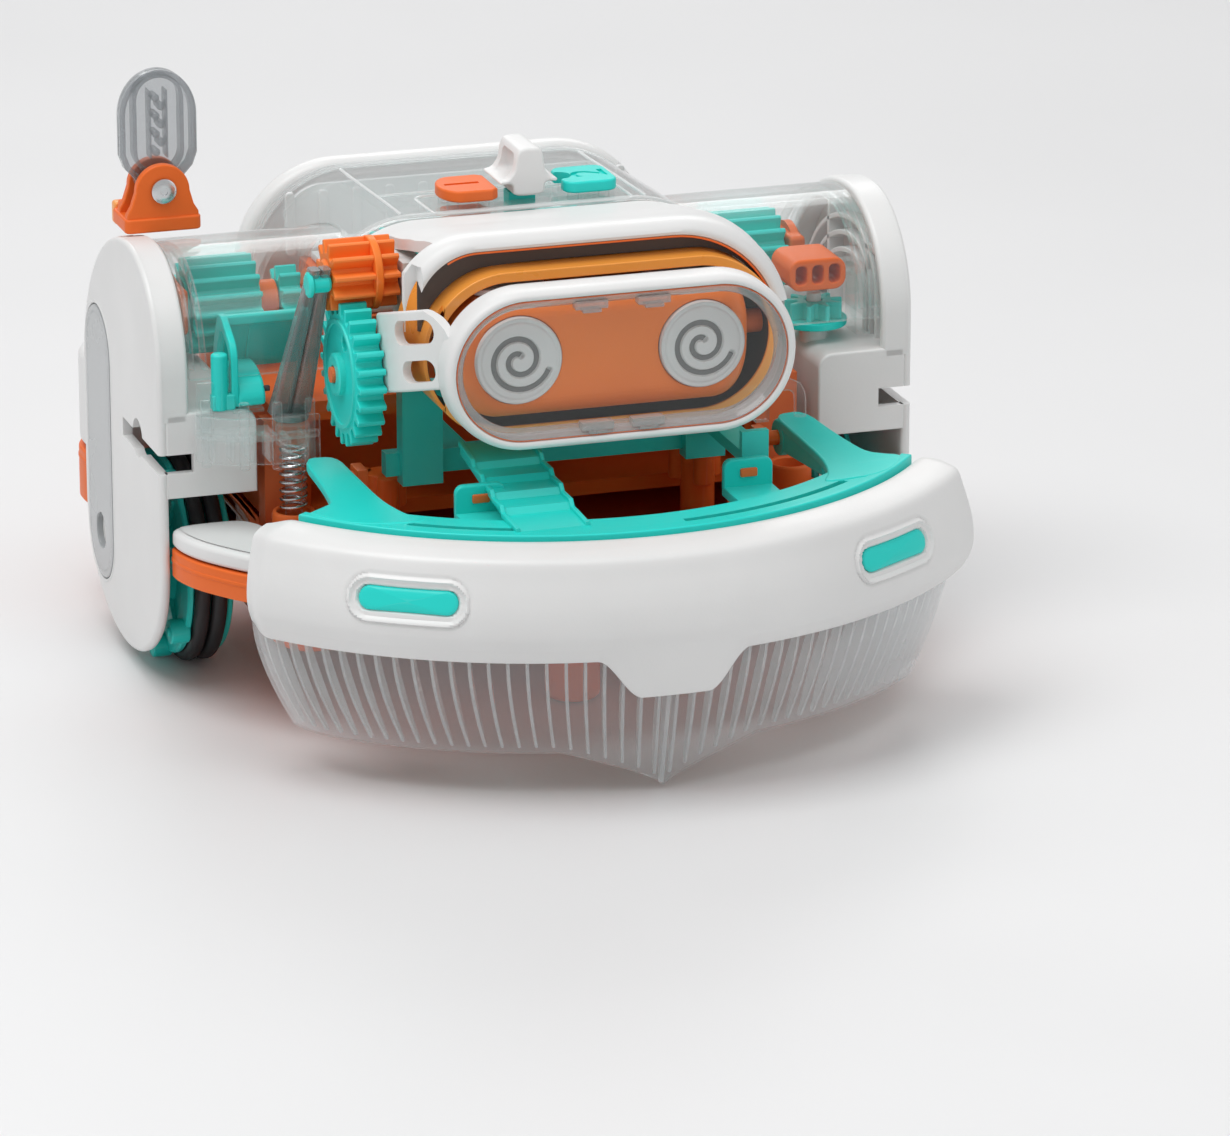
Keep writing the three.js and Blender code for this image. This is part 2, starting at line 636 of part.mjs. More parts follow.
function springPost() {
  const shaft = rod('z', 2.2, 40.6, 72, POST.x, POST.y, 10);
  const head = rod('z', 4.4, 66.2, 72, POST.x, POST.y, 14);
  return shaft.add(head);
}

function coil(x, y, z0, z1, radius, wire, turns) {
  const points = [];
  const steps = turns * 7;
  for (let i = 0; i <= steps; i += 1) {
    const a = (i / 7) * 2 * Math.PI;
    const z = z0 + ((z1 - z0) * i) / steps;
    points.push(new THREE.Vector3(x + radius * Math.cos(a), y + radius * Math.sin(a), z));
  }
  const path = new THREE.CatmullRomCurve3(points);
  const section = shapeOf(arcPoints(0, 0, wire, wire, 0, 240, 2));
  return solid(new THREE.ExtrudeGeometry(section, { steps, extrudePath: path, curveSegments: 1 }));
}

function podGear() {
  const body = gear(POD_TEETH, POD_AXIS, 62, 80);
  return body.subtract(rod('x', 3, 60, 82, POD_AXIS.y, POD_AXIS.z, 16));
}

function podShaft() {
  const shaft = rod('x', 2.9, 49, 83, POD_AXIS.y, POD_AXIS.z, 16);
  const sleeve = rod('x', 5, 56, 61.6, POD_AXIS.y, POD_AXIS.z, 20);
  return shaft.add(sleeve);
}

function smallGear() {
  return gear(SMALL_TEETH, POD_AXIS, 50, 55.6, 0.2).subtract(rod('x', 3, 49, 57, POD_AXIS.y, POD_AXIS.z, 16));
}

function windowBox() {
  const body = box(69, 84.4, -26, -15, 91, 99.4);
  const front = rod('x', 4.2, 69, 84.4, -26, 95.2, 14);
  const holes = [0, 1, 2].map((i) => box(70.6 + i * 4.5, 73.8 + i * 4.5, -40, -19, 92.6, 97.6));
  const stem = box(88.6, 91.4, -26, -17, 77, 96).add(box(84, 89, -22, -17, 93, 96));
  return holes.reduce((sum, hole) => sum.subtract(hole), body.add(front)).add(stem);
}

function turntable() {
  const disc = rod('z', 8.6, 79.6, 81.6, 79, -20, 24);
  const teeth = alongZ(gearOutline(9, 79, -20, 0), 81.5, 86);
  return disc.add(teeth).subtract(rod('z', 2.2, 78, 88, 79, -20, 14));
}

// stub that carries the turntable on top of the right housing
function turntableStub() {
  const pin = rod('z', 1.9, HOUSING_TOP - 1, 88, 79, -20, 12);
  return pin.add(rod('z', 3.6, HOUSING_TOP - 1, 79.2, 79, -20, 12));
}

// ---------------------------------------------------------------- antenna
// upright outline (x, z) of one ear of the antenna's fork
function earOutline() {
  return [
    [-97, 116], [-78.6, 116], [-79, 118], [-80.6, 120], ...arcPoints(-87.8, 123, 7, 7, 0, 180, 12),
    [-95, 120], [-96.6, 118],
  ];
}

function antennaBracket() {
  const base = box(-97.6, -78, 1, 15, 112.7, 116.4);
  const ears = [[1.6, 4.2], [9.4, 12]].map(([y0, y1]) => alongY(earOutline(), y0, y1));
  return unite([base, ...ears]).subtract(rod('y', 2.1, 0, 20, -87.8, 123.4, 16));
}

function antennaPin() {
  return rod('y', 2, 0.6, 12.8, -87.8, 123.4, 20).add(rod('y', 3.2, 0.2, 1.3, -87.8, 123.4, 20));
}

function antennaPaddle() {
  const blade = [
    [-93, 119.4], [-82.6, 119.4], [-82, 125], [-77.8, 131], ...arcPoints(-87.8, 142, 10, 11.8, 0, 180, 14),
    [-97.8, 131], [-93.6, 125],
  ];
  const slab = alongY(blade, 4.9, 8.7);
  const dish = alongY(stadiumUp(-87.8, 139, 6, 6.4), 3, 6);
  const pin = rod('y', 2.1, 0, 20, -87.8, 123.4, 16);
  return slab.subtract(dish).subtract(pin);
}

function stadiumUp(cx, cz, flat, r) {
  return stadium(cz, cx, flat, r, 8).map(([z, x]) => [x, z]).reverse();
}

// ---------------------------------------------------------------- visor and face
function visorFrame() {
  const outer = stadium(0, FACE_AXIS.z, RING_FLAT, RING_R, 10);
  const inner = stadium(0, FACE_AXIS.z, RING_FLAT, RING_R - 3.4, 10);
  const step = stadium(0, FACE_AXIS.z, RING_FLAT, RING_R - 2, 10);
  const stepCut = alongY(step, RING_FRONT - 1, RING_FRONT + 1.2);
  return alongY(outer, RING_FRONT, RING_BACK, [inner]).subtract(stepCut).add(visorArm());
}

// side arm from the visor gear up to the ring, rising towards the front
function visorArm() {
  const band = [
    [-51.2, -62], [-51.2, -79], [-49.2, -86.6], [-43.6, -95.4], [-43, -99], [-41.4, -99], [-41.6, -94.4],
    [-46.4, -87.6], [-48.7, -78], [-48.7, -62],
  ];
  const slope = 0.29;
  const plate = alongZ(band, 89.8, 110.4).transform([
    1, 0, 0, 0, 0, 1, -slope, 0, 0, 0, 1, 0, 0, 0, -79 * slope, 1,
  ]);
  const high = armWindow(15.4, 3.05, [-48.1, -86.2, 106.9]);
  const low = armWindow(11.8, 2.75, [-47.5, -88.4, 97.5]);
  return plate.subtract(high).subtract(low);
}

// rounded window cut square to the arm's curved face
function armWindow(length, r, place) {
  const tool = alongY(stadium(0, 0, length / 2 - r, r, 6), -6, 6);
  return tool.rotate([0, -14, 0]).rotate([0, 0, -66.5]).translate(place);
}

function visorGear() {
  const phases = meshPhases();
  const body = gear(VISOR_TEETH, VISOR_AXIS, -58.5, -51.5, phases.visor);
  const hub = rod('x', 5.4, -60.2, -58.4, VISOR_AXIS.y, VISOR_AXIS.z, 20);
  const oval = alongX(stadium(VISOR_AXIS.y - 4, VISOR_AXIS.z + 9, 0.1, 2.1, 8), -60, -50);
  return body.add(hub).subtract(oval).subtract(rod('x', 2.3, -62, -50, VISOR_AXIS.y, VISOR_AXIS.z, 16));
}

function visorShaft() {
  return rod('x', 2, -61, -46.4, VISOR_AXIS.y, VISOR_AXIS.z, 16);
}

function visorLens() {
  const pane = alongY(stadium(0, FACE_AXIS.z, RING_FLAT, RING_R - 3.8, 10), -102.4, -101);
  const clips = [
    box(-9, 9, -103.6, -101.2, FACE_AXIS.z + 13.2, FACE_AXIS.z + 16.2),
    box(-8, 8, -103.6, -101.2, FACE_AXIS.z - 16.2, FACE_AXIS.z - 13.2),
  ];
  return unite([pane, ...clips]);
}

function doubleGear() {
  const phases = meshPhases();
  const wide = gear(DOUBLE_TEETH, DOUBLE_AXIS, -60, -49.4, phases.double);
  const narrow = gear(DOUBLE_TEETH, DOUBLE_AXIS, -47.6, -43, phases.double);
  const flange = rod('x', 9.2, -49.5, -47.5, DOUBLE_AXIS.y, DOUBLE_AXIS.z, 28);
  const stub = rod('x', 2.4, -43.1, -39, DOUBLE_AXIS.y, DOUBLE_AXIS.z, 16);
  return unite([wide, narrow, flange, stub]);
}

// (r, x) outline of the round room that the drum may fill as it turns
function drumSweep() {
  const end = arcPoints(0, 24.6, 19.5, 19.5, 0, 90, 8);
  return [...end, ...end.map(([r, x]) => [r, -x]).reverse()];
}

function faceDrum() {
  const h = FACE_SIDE / 2;
  const { y, z } = FACE_AXIS;
  const section = roundedRect(y - h, y + h, z - h, z + h, 6, 3);
  const front = roundedRect(-FACE_HALF, FACE_HALF, z - h, z + h, 11, 3);
  const plan = roundedRect(-FACE_HALF, FACE_HALF, y - h, y + h, 11, 3);
  const block = alongX(section, -FACE_HALF, FACE_HALF)
    .intersect(alongY(front, y - 30, y + 30))
    .intersect(alongZ(plan, z - 30, z + 30));
  let body = block.intersect(turned(drumSweep(), y, z, 32));
  for (const s of [-1, 1]) {
    body = body.subtract(rod('y', EYE_R + 0.3, y - h - 5, y - h + 1, s * EYE_X, z, 20));
    body = body.subtract(rod('z', EYE_R + 0.3, z + h - 1, z + h + 5, s * EYE_X, y, 20));
    body = body.add(rod('x', 3, Math.min(s * 37, s * 44), Math.max(s * 37, s * 44), y, z, 12));
  }
  return body;
}

function eyeDisc(s) {
  const h = FACE_SIDE / 2;
  const { y, z } = FACE_AXIS;
  const disc = rod('y', EYE_R, y - h - 1, y - h + 0.7, s * EYE_X, z, 20);
  return disc.subtract(spiralGroove(s * EYE_X, y - h - 1, z));
}

// a groove of two and a quarter turns, cut in from the front
function spiralGroove(cx, front, cz) {
  const inner = [];
  const outer = [];
  const steps = 14;
  for (let i = 0; i <= steps; i += 1) {
    const t = i / steps;
    const a = 1.2 + t * 2 * Math.PI * 1.75;
    const r = 1.4 + t * 7;
    outer.push([cx + (r + 0.75) * Math.cos(a), cz + (r + 0.75) * Math.sin(a)]);
    inner.push([cx + (r - 0.75) * Math.cos(a), cz + (r - 0.75) * Math.sin(a)]);
  }
  return alongY([...outer, ...inner.reverse()], front - 1, front + 0.8);
}

function topEye(s) {
  const h = FACE_SIDE / 2;
  const { y, z } = FACE_AXIS;
  const disc = rod('z', EYE_R, z + h - 0.7, z + h + 1, s * EYE_X, y, 20);
  const brow = alongZ(planStadium(s * EYE_X, y, 5, 1.4), z + h + 0.3, z + h + 3);
  return disc.subtract(brow);
}

function planStadium(cx, cy, flat, r) {
  return stadium(cx, cy, flat, r, 6);
}

// ---------------------------------------------------------------- bumper
function bumperEdge(deg) {
  const t = THREE.MathUtils.smoothstep(Math.abs(deg), 4.5, 9.5);
  return THREE.MathUtils.lerp(BUMPER_DIP, BUMPER_EDGE, t);
}

function bumperShell() {
  const ends = (deg) => THREE.MathUtils.smoothstep(BUMPER_HALF_ANGLE - Math.abs(deg), -1.2, 4.5);
  const outline = (deg) => {
    const e = ends(deg);
    const low = bumperEdge(deg);
    const bulge = (r) => 104 + (r - 104) * (0.55 + 0.45 * e);
    const lift = (z) => 50 + (z - 50) * (0.84 + 0.16 * e);
    return [
      [bulge(101.6), lift(61.8)], [bulge(103.6), lift(BUMPER_TOP)], [bulge(108.6), lift(63)],
      [bulge(113.4), lift(59.4)], [bulge(116.4), lift(54)], [bulge(BUMPER_R), lift(47)],
      [bulge(116.6), lift(41)], [bulge(114.8), low], [bulge(112.8), low], [bulge(114.4), lift(41.6)],
      [bulge(115.2), lift(48)], [bulge(112.6), lift(56)], [bulge(107), lift(60.4)],
    ];
  };
  const angles = [-56, -54.8, -52, -46, -38, -30, -22, -15, -9.5, -7, -4.5];
  const both = [...angles, 0, ...angles.map((a) => -a).reverse()];
  let body = sweepRound(both, outline);
  for (const s of [-1, 1]) {
    body = body.subtract(pillCutter(s, 11.4, 3.05, -2.4));
    body = body.add(pillRing(s));
  }
  return body;
}

// stadium block standing on the bumper's face at a pill's place
function pillCutter(s, flat, r, depth, out = 6) {
  const deg = PILL_ANGLE * s;
  const body = alongY(stadium(0, PILL_Z, flat, r, 5), -BUMPER_R - out, -BUMPER_R - depth);
  return body.rotate([0, 0, deg]).translate([0, BUMPER_CENTRE_Y, 0]);
}

function pillRing(s) {
  const outer = alongY(stadium(0, PILL_Z, 12, 5.6, 5), -BUMPER_R - 0.3, -BUMPER_R + 3.4, [
    stadium(0, PILL_Z, 12, 4.6, 5).reverse(),
  ]);
  return outer.rotate([0, 0, PILL_ANGLE * s]).translate([0, BUMPER_CENTRE_Y, 0]);
}

function pill(s) {
  const body = alongY(stadium(0, PILL_Z, 9.9, 2.8, 5), -BUMPER_R + 0.2, -BUMPER_R + 2.2);
  return body.rotate([0, 0, PILL_ANGLE * s]).translate([0, BUMPER_CENTRE_Y, 0]);
}

function skirtBottom(deg) {
  const a = Math.abs(deg);
  if (a < 15) return SKIRT_TIP + (SKIRT_BOTTOM - SKIRT_TIP) * Math.pow(a / 15, 0.75);
  return SKIRT_BOTTOM;
}

function bumperSkirt() {
  const outline = (deep) => (deg) => {
    const low = skirtBottom(deg);
    const mid = (low + 38) / 2;
    const d = deep ? 2.4 : 0;
    return [
      [111.6, 40.6], [111.6, 37], [108.6, mid], [104.8, low], [103.6 - d * 0.3, low], [107.2 - d, mid],
      [110.2 - d, 37], [110.2, 40.6],
    ];
  };
  const rings = [];
  const step = 6.825;
  const half = 57;
  const first = outline(false)(-half);
  const push = (deg, deep) => {
    const pull = 3.5 * Math.pow(Math.max(0, Math.abs(deg) - 48) / 9, 2);
    rings.push(outline(deep)(deg).map(([r, z]) => {
      const drop = Math.max(0, 38 - z) / 27;
      const a = THREE.MathUtils.degToRad(deg * (1 - 0.07 * drop * drop));
      return [(r - pull) * Math.sin(a), BUMPER_CENTRE_Y - (r - pull) * Math.cos(a), z];
    }));
  };
  push(-half, false);
  for (let deg = -54.6; deg < 55; deg += step) {
    push(deg - 0.36, false);
    push(deg - 0.3, true);
    push(deg + 0.3, true);
    push(deg + 0.36, false);
  }
  push(half, false);
  const blade = alongX([[-133.4, 1.3], [-131.5, 1.3], [-133, 27], [-139, 27]], -0.6, 0.6);
  return loft(rings, first).add(blade);
}

function yoke() {
  const bar = alongZ(planArc(88, 99.5, -42, 42, 10), YOKE_TOP - 2.6, YOKE_TOP);
  const lip = alongZ(planArc(98, 100.8, -52, 52, 12), YOKE_TOP - 7, YOKE_TOP);
  const parts = [bar, lip];
  for (const s of [-1, 1]) {
    parts.push(yokeArm(s));
    parts.push(yokeClip(s));
  }
  parts.push(ramp());
  const slots = [
    alongZ(planArc(94.6, 96.6, -36, -19, 3), 50, 70), alongZ(planArc(94.6, 96.6, 5, 36, 5), 50, 70),
  ];
  let body = unite(parts);
  for (const slot of slots) body = body.subtract(slot);
  for (const s of [-1, 1]) {
    body = body.subtract(rod('x', 2.1, Math.min(s * 56, s * 75), Math.max(s * 56, s * 75), YOKE_PIVOT.y,
      YOKE_PIVOT.z, 14));
  }
  return body;
}

function yokeArm(s) {
  const plan = [
    [57.6, -49.6], [66.4, -48.4], [67.6, -72], [69.6, -88], [78, -92], [68, -105], [50, -108],
    [54.6, -100], [57, -88], [57.4, -66],
  ];
  const points = s > 0 ? plan : plan.map(([x, y]) => [-x, y]).reverse();
  const arm = alongZ(points, YOKE_TOP - 2.6, YOKE_TOP);
  const x0 = Math.min(s * 57.8, s * 60.8);
  const x1 = Math.max(s * 57.8, s * 60.8);
  const rib = box(x0, x1, -86, -52, 57.4, YOKE_TOP - 0.1);
  const eye = rod('x', 4.6, x0, x1, YOKE_PIVOT.y, YOKE_PIVOT.z, 14);
  return unite([arm, rib, eye]);
}

function yokeClip(s) {
  const tab = alongY(roundedRect(s * 34.6 - 6.4, s * 34.6 + 6.4, YOKE_TOP - 5, 70, 2.2, 3), -97, -95);
  return tab.add(box(s * 34.6 - 6.4, s * 34.6 + 6.4, -113, -95.2, YOKE_TOP - 5, YOKE_TOP - 2.4));
}

function ramp() {
  const profile = [[-122, YOKE_TOP - 2.4], [-122, YOKE_TOP - 0.1], [-113, YOKE_TOP + 0.3]];
  for (let i = 0; i < 4; i += 1) {
    const y = -110 + i * 8;
    profile.push([y, YOKE_TOP + 0.3 + i * 1.5], [y + 1.4, YOKE_TOP + 1.8 + i * 1.5]);
  }
  profile.push([-74, YOKE_TOP + 8], [-74, YOKE_TOP + 5.4]);
  return alongX(profile.reverse(), -33, -15);
}

// upright on the tray whose pin carries one yoke arm
function yokePost(s) {
  const x0 = Math.min(s * 51.4, s * 54.4);
  const x1 = Math.max(s * 51.4, s * 54.4);
  const post = box(x0, x1, YOKE_PIVOT.y - 3.4, YOKE_PIVOT.y + 3.4, TRAY_LOW + 2, YOKE_PIVOT.z + 3);
  const ends = s > 0 ? [54, 62] : [-62, -54];
  const pin = rod('x', 1.9, ...ends, YOKE_PIVOT.y, YOKE_PIVOT.z, 14);
  return post.add(pin);
}

// ---------------------------------------------------------------- assembly
const robot = new THREE.Group();
robot.name = 'robot';

function moveToFrame(body) {
  return body.translate([0, Y_SHIFT, 0]);
}

function add(name, colour, body, slot) {
  const mesh = moveToFrame(body).getMesh();
  const geometry = new THREE.BufferGeometry();
  const xyz = new Float32Array((mesh.vertProperties.length / mesh.numProp) * 3);
  for (let i = 0; i < xyz.length / 3; i += 1) {
    for (let k = 0; k < 3; k += 1) xyz[i * 3 + k] = mesh.vertProperties[i * mesh.numProp + k];
  }
  geometry.setAttribute('position', new THREE.BufferAttribute(xyz, 3));
  geometry.setIndex(new THREE.BufferAttribute(new Uint32Array(mesh.triVerts), 1));
  geometry.computeVertexNormals();
  const see = slot === 'clear' || slot === 'smoke';
  const material = new THREE.MeshStandardMaterial({
    color: colour, roughness: 0.5, transparent: see, opacity: see ? 0.35 : 1,
  });
  material.name = slot;
  const node = new THREE.Mesh(geometry, material);
  node.name = name;
  robot.add(node);
}

const plateLeft = mirrored(sidePlate());
const plateRight = sidePlate().add(turntableStub());
const insetRight = sideInset();
const tubeRight = podTube();
const hubRight = wheelHub();
const capRight = fenderCap();

add('chassis_tray', COLOUR.orange, chassisTray(), 'orange');
add('gearbox', COLOUR.orange, gearbox(), 'orange');
add('fender_cap_right', COLOUR.white, capRight, 'white');
add('fender_cap_left', COLOUR.white, mirrored(capRight), 'white');
add('rear_cover', COLOUR.white, rearCover(), 'white');
add('side_plate_right', COLOUR.white, plateRight, 'white');
add('side_plate_left', COLOUR.white, plateLeft, 'white');
add('side_inset_right', COLOUR.grey, insetRight, 'smoke');
add('side_inset_left', COLOUR.grey, mirrored(insetRight), 'smoke');
add('pod_tube_right', COLOUR.clear, tubeRight, 'clear');
add('pod_tube_left', COLOUR.clear, mirrored(tubeRight), 'clear');
add('pod_bracket_left', COLOUR.clear, podBracketLeft(), 'clear');
add('pod_bracket_right', COLOUR.clear, podBracketRight(), 'clear');
add('hopper', COLOUR.teal, hopper(), 'teal');
add('spring_post', COLOUR.clear, springPost(), 'clear');
add('post_spring', COLOUR.steel, coil(POST.x, POST.y, 50, 65.4, 3.2, 0.45, 7), 'steel');
add('tray_spring', COLOUR.steel, coil(8, -74, 31.4, 44, 3.4, 0.45, 5), 'steel');
add('window_box', COLOUR.orange, windowBox(), 'orange');
add('body_hood', COLOUR.white, bodyHood(), 'white');
add('back_shell', COLOUR.white, backShell(), 'white');
add('top_window', COLOUR.clear, topWindow(), 'clear');
add('face_housing', COLOUR.amber, faceHousing(), 'amber');
add('inner_frame', COLOUR.teal, innerFrame(), 'teal');
add('bearing_block', COLOUR.white, bearingBlock(), 'white');
add('mode_plate_one', COLOUR.orange, modePlateOne(), 'orange');
add('mode_plate_two', COLOUR.teal, modePlateTwo(), 'teal');
add('antenna_bracket', COLOUR.orange, antennaBracket(), 'orange');
add('antenna_pin', COLOUR.steel, antennaPin(), 'steel');
add('visor_shaft', COLOUR.steel, visorShaft(), 'steel');

add('wheel_hub_right', COLOUR.teal, hubRight, 'teal');
add('tyre_right_outer', COLOUR.rubber, tyre(TYRE_OUTER_X), 'rubber');
add('tyre_right_inner', COLOUR.rubber, tyre(TYRE_INNER_X), 'rubber');
add('wheel_hub_left', COLOUR.teal, mirrored(hubRight), 'teal');
add('tyre_left_outer', COLOUR.rubber, tyre(-TYRE_OUTER_X), 'rubber');
add('tyre_left_inner', COLOUR.rubber, tyre(-TYRE_INNER_X), 'rubber');

add('visor_frame', COLOUR.white, visorFrame(), 'white');
add('visor_gear', COLOUR.teal, visorGear(), 'teal');
add('visor_lens', COLOUR.clear, visorLens(), 'clear');
add('double_gear', COLOUR.orange, doubleGear(), 'orange');
add('face_drum', COLOUR.orange, faceDrum(), 'orange');
add('eye_left', COLOUR.grey, eyeDisc(-1), 'white');
add('eye_right', COLOUR.grey, eyeDisc(1), 'white');
add('top_eye_left', COLOUR.grey, topEye(-1), 'white');
add('top_eye_right', COLOUR.grey, topEye(1), 'white');

add('yoke', COLOUR.teal, yoke(), 'teal');
add('bumper_shell', COLOUR.white, bumperShell(), 'white');
add('bumper_skirt', COLOUR.clear, bumperSkirt(), 'clear');
add('pill_left', COLOUR.teal, pill(-1), 'teal');
add('pill_right', COLOUR.teal, pill(1), 'teal');

add('mode_lever', COLOUR.white, modeLever(), 'white');
add('lever_block', COLOUR.teal, leverBlock(), 'teal');
add('antenna_paddle', COLOUR.smoke, antennaPaddle(), 'smoke');
add('pod_gear_left', COLOUR.teal, mirrored(podGear()), 'teal');
add('pod_shaft_left', COLOUR.orange, mirrored(podShaft()), 'orange');
add('small_gear_left', COLOUR.teal, mirrored(smallGear()), 'teal');
add('pod_gear_right', COLOUR.teal, podGear(), 'teal');
add('pod_shaft_right', COLOUR.orange, podShaft(), 'orange');
add('pod_lever', COLOUR.smoke, podLever(), 'smoke');
add('lever_knob', COLOUR.teal, leverKnob(), 'teal');
add('turntable', COLOUR.teal, turntable(), 'teal');

export default robot;
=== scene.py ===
import math

import bmesh
import bpy
from mathutils import Matrix, Vector


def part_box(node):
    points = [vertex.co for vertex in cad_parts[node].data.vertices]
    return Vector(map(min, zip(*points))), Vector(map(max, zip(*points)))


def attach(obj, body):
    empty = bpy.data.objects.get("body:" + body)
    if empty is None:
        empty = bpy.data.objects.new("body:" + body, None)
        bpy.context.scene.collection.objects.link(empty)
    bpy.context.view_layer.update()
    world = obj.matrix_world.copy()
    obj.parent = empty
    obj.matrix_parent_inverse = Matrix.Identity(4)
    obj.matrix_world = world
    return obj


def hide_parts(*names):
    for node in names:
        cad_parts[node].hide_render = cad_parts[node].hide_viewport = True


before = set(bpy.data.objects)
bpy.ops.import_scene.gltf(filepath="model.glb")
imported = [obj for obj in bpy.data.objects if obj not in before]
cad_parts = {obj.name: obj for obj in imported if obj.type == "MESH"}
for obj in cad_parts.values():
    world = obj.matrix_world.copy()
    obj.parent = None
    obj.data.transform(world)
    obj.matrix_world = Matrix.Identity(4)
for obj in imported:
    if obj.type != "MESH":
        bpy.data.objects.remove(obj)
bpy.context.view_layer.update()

# Lengths below are millimetres in the robot's own frame: X across, Z up, wheel axles above Y = 0,
# front at -Y. place() scales them to metres and moves them to where the frame has the wheel axles.
MM = 0.001
TYRE_LOW, TYRE_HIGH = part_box("tyre_left_outer")
AXLE_Y = (TYRE_LOW.y + TYRE_HIGH.y) / 2 / MM
AXLE_Z = (TYRE_LOW.z + TYRE_HIGH.z) / 2 / MM

HALF_WIDTH = 100.0
PLATE_THICK = 8.0
PLATE_SKIN = 2.5
HOUSING_IN = 74.6
HOUSING_LOW = 54.0
HOUSING_TOP = 76.0
FACE_Y, FACE_Z = -77.5, 99.5
FACE_HALF = 38.5
EYE_X = 23.6
EYE_R = 11.0
RING_FLAT = 24.8
RING_R = 20.2
ARM_SLOPE = 0.29
BUMPER_Y = -30.0
BUMPER_R = 117.5
BUMPER_TOP = 64.6
BUMPER_EDGE = 37.4
BUMPER_DIP = 27.6
BUMPER_ANGLE = 56.0
SKIRT_ANGLE = 57.0
PILL_ANGLE = 32.6
PILL_Z = 52.6
SKIRT_BOTTOM = 11.0
SKIRT_TIP = 1.2
YOKE_TOP = 65.4
POD_Y, POD_Z = 13.5, 89.2
VISOR_Y, VISOR_Z = -56.5, 88.9
DOUBLE_Y, DOUBLE_Z = -50.0, 112.51
POST_X, POST_Y = -66.0, -39.0
KNOB_X, KNOB_Y, KNOB_Z = -63.0, -55.0, 112.0
TRAY_LOW = 27.0
TRAY_TOP = 41.0
FENDER_LOW = 34.0
BELLY_LOW = 14.0
REAR_Y = 68.0
GEAR_MODULE = 1.4
WINDOW_FRONT, WINDOW_BACK = -23.7, 45.7
HOUSING_FLAT = 24.6
CLIP_X = 34.6
PIVOT_Y, PIVOT_Z = -53, 60.4
TABLE_X, TABLE_Y = 79, -20
ANTENNA_X, ANTENNA_Z = -87.8, 123.4
DIGIT_Y = -11
SIDES = ((1, "right"), (-1, "left"))


# ---------------------------------------------------------------- materials
def new_tree(name):
    """A new material and its empty node tree."""
    material = bpy.data.materials.new(name)
    material.use_nodes = True
    material.node_tree.nodes.clear()
    return material, material.node_tree


def node(tree, kind, settings=None, **inputs):
    """A new shader node. An input is linked when it is given a socket, and set when given a value."""
    made = tree.nodes.new("ShaderNode" + kind)
    for name, value in (settings or {}).items():
        setattr(made, name, value)
    for name, value in inputs.items():
        socket = made.inputs[name.replace("_", " ")]
        if isinstance(value, bpy.types.NodeSocket):
            tree.links.new(value, socket)
        else:
            socket.default_value = value
    return made


def finished(material, tree, shader):
    node(tree, "OutputMaterial", Surface=shader.outputs[0])
    return material


def noise(tree, scale, detail=3.0):
    """A noise texture in the object's own space."""
    coords = node(tree, "TexCoord").outputs["Object"]
    return node(tree, "TexNoise", Vector=coords, Scale=scale, Detail=detail).outputs["Fac"]


def spread(tree, source, low, high, low_in=0.3, high_in=0.7):
    """A value moved from one range to another."""
    return node(tree, "MapRange", Value=source, From_Min=low_in, From_Max=high_in,
                To_Min=low, To_Max=high).outputs["Result"]


def blend_colours(tree, factor, first, second):
    """Mixes two colours, each given as three numbers or as a socket."""
    a, b = ((*end, 1) if isinstance(end, tuple) else end for end in (first, second))
    return node(tree, "Mix", {"data_type": "RGBA"}, Factor=factor, A=a, B=b).outputs["Result"]


def scaled(colour, factor):
    return tuple(min(1.0, c * factor) for c in colour)


def surface_bump(tree, grain, depth):
    height = noise(tree, grain, 4.0)
    return node(tree, "Bump", Strength=0.35, Distance=depth, Height=height).outputs["Normal"]


def moulded(name, colour, rough=0.36, grain=1400.0, depth=0.00006, sss=0.0, coat=0.0, shine=0.5):
    """Injection-moulded plastic: faint colour drift, fine grain, uneven gloss and paler sharp edges."""
    material, tree = new_tree(name)
    drift = spread(tree, noise(tree, 22.0), 0.0, 1.0)
    body = blend_colours(tree, drift, scaled(colour, 0.955), scaled(colour, 1.03))
    # Sharp edges, found by pointiness, are blended a little towards white.
    edge = spread(tree, node(tree, "NewGeometry").outputs["Pointiness"], 0.0, 0.32, 0.53, 0.62)
    pale_edged = blend_colours(tree, edge, body, tuple(c + (1 - c) * 0.12 for c in colour))
    gloss = spread(tree, noise(tree, 60.0), rough - 0.05, rough + 0.06)
    shader = node(
        tree, "BsdfPrincipled", Base_Color=pale_edged, Roughness=gloss, Normal=surface_bump(tree, grain, depth),
        IOR=1.5, Specular_IOR_Level=shine, Coat_Weight=coat, Coat_Roughness=0.18,
        Subsurface_Weight=sss, Subsurface_Radius=(0.004, 0.003, 0.003), Subsurface_Scale=0.5)
    return finished(material, tree, shader)


def see_through(name, tint, body, face_share, edge_share, rough=0.02):
    """Clear moulded plastic as a thin wall: open where it is met head on, milky and bright at its edges."""
    material, tree = new_tree(name)
    wall = node(tree, "BsdfPrincipled", Base_Color=(*body, 1), IOR=1.5,
                Roughness=spread(tree, noise(tree, 45.0), 0.2, 0.3))
    clear = node(tree, "BsdfTransparent", Color=(*tint, 1))
    facing = node(tree, "LayerWeight", Blend=0.5).outputs["Facing"]
    inside = mixed_shader(tree, spread(tree, facing, face_share, edge_share, 0.35, 1.0), clear, wall)
    mirror = node(tree, "BsdfPrincipled", Base_Color=(0.95, 0.96, 0.96, 1), Metallic=1.0,
                  Roughness=spread(tree, noise(tree, 60.0), rough, rough + 0.05),
                  Normal=surface_bump(tree, 160.0, 0.00003))
    return finished(material, tree, mixed_shader(tree, sheen(tree, facing), inside, mirror))


def mixed_shader(tree, share, first, second):
    mix = node(tree, "MixShader", Fac=share)
    tree.links.new(first.outputs[0], mix.inputs[1])
    tree.links.new(second.outputs[0], mix.inputs[2])
    return mix


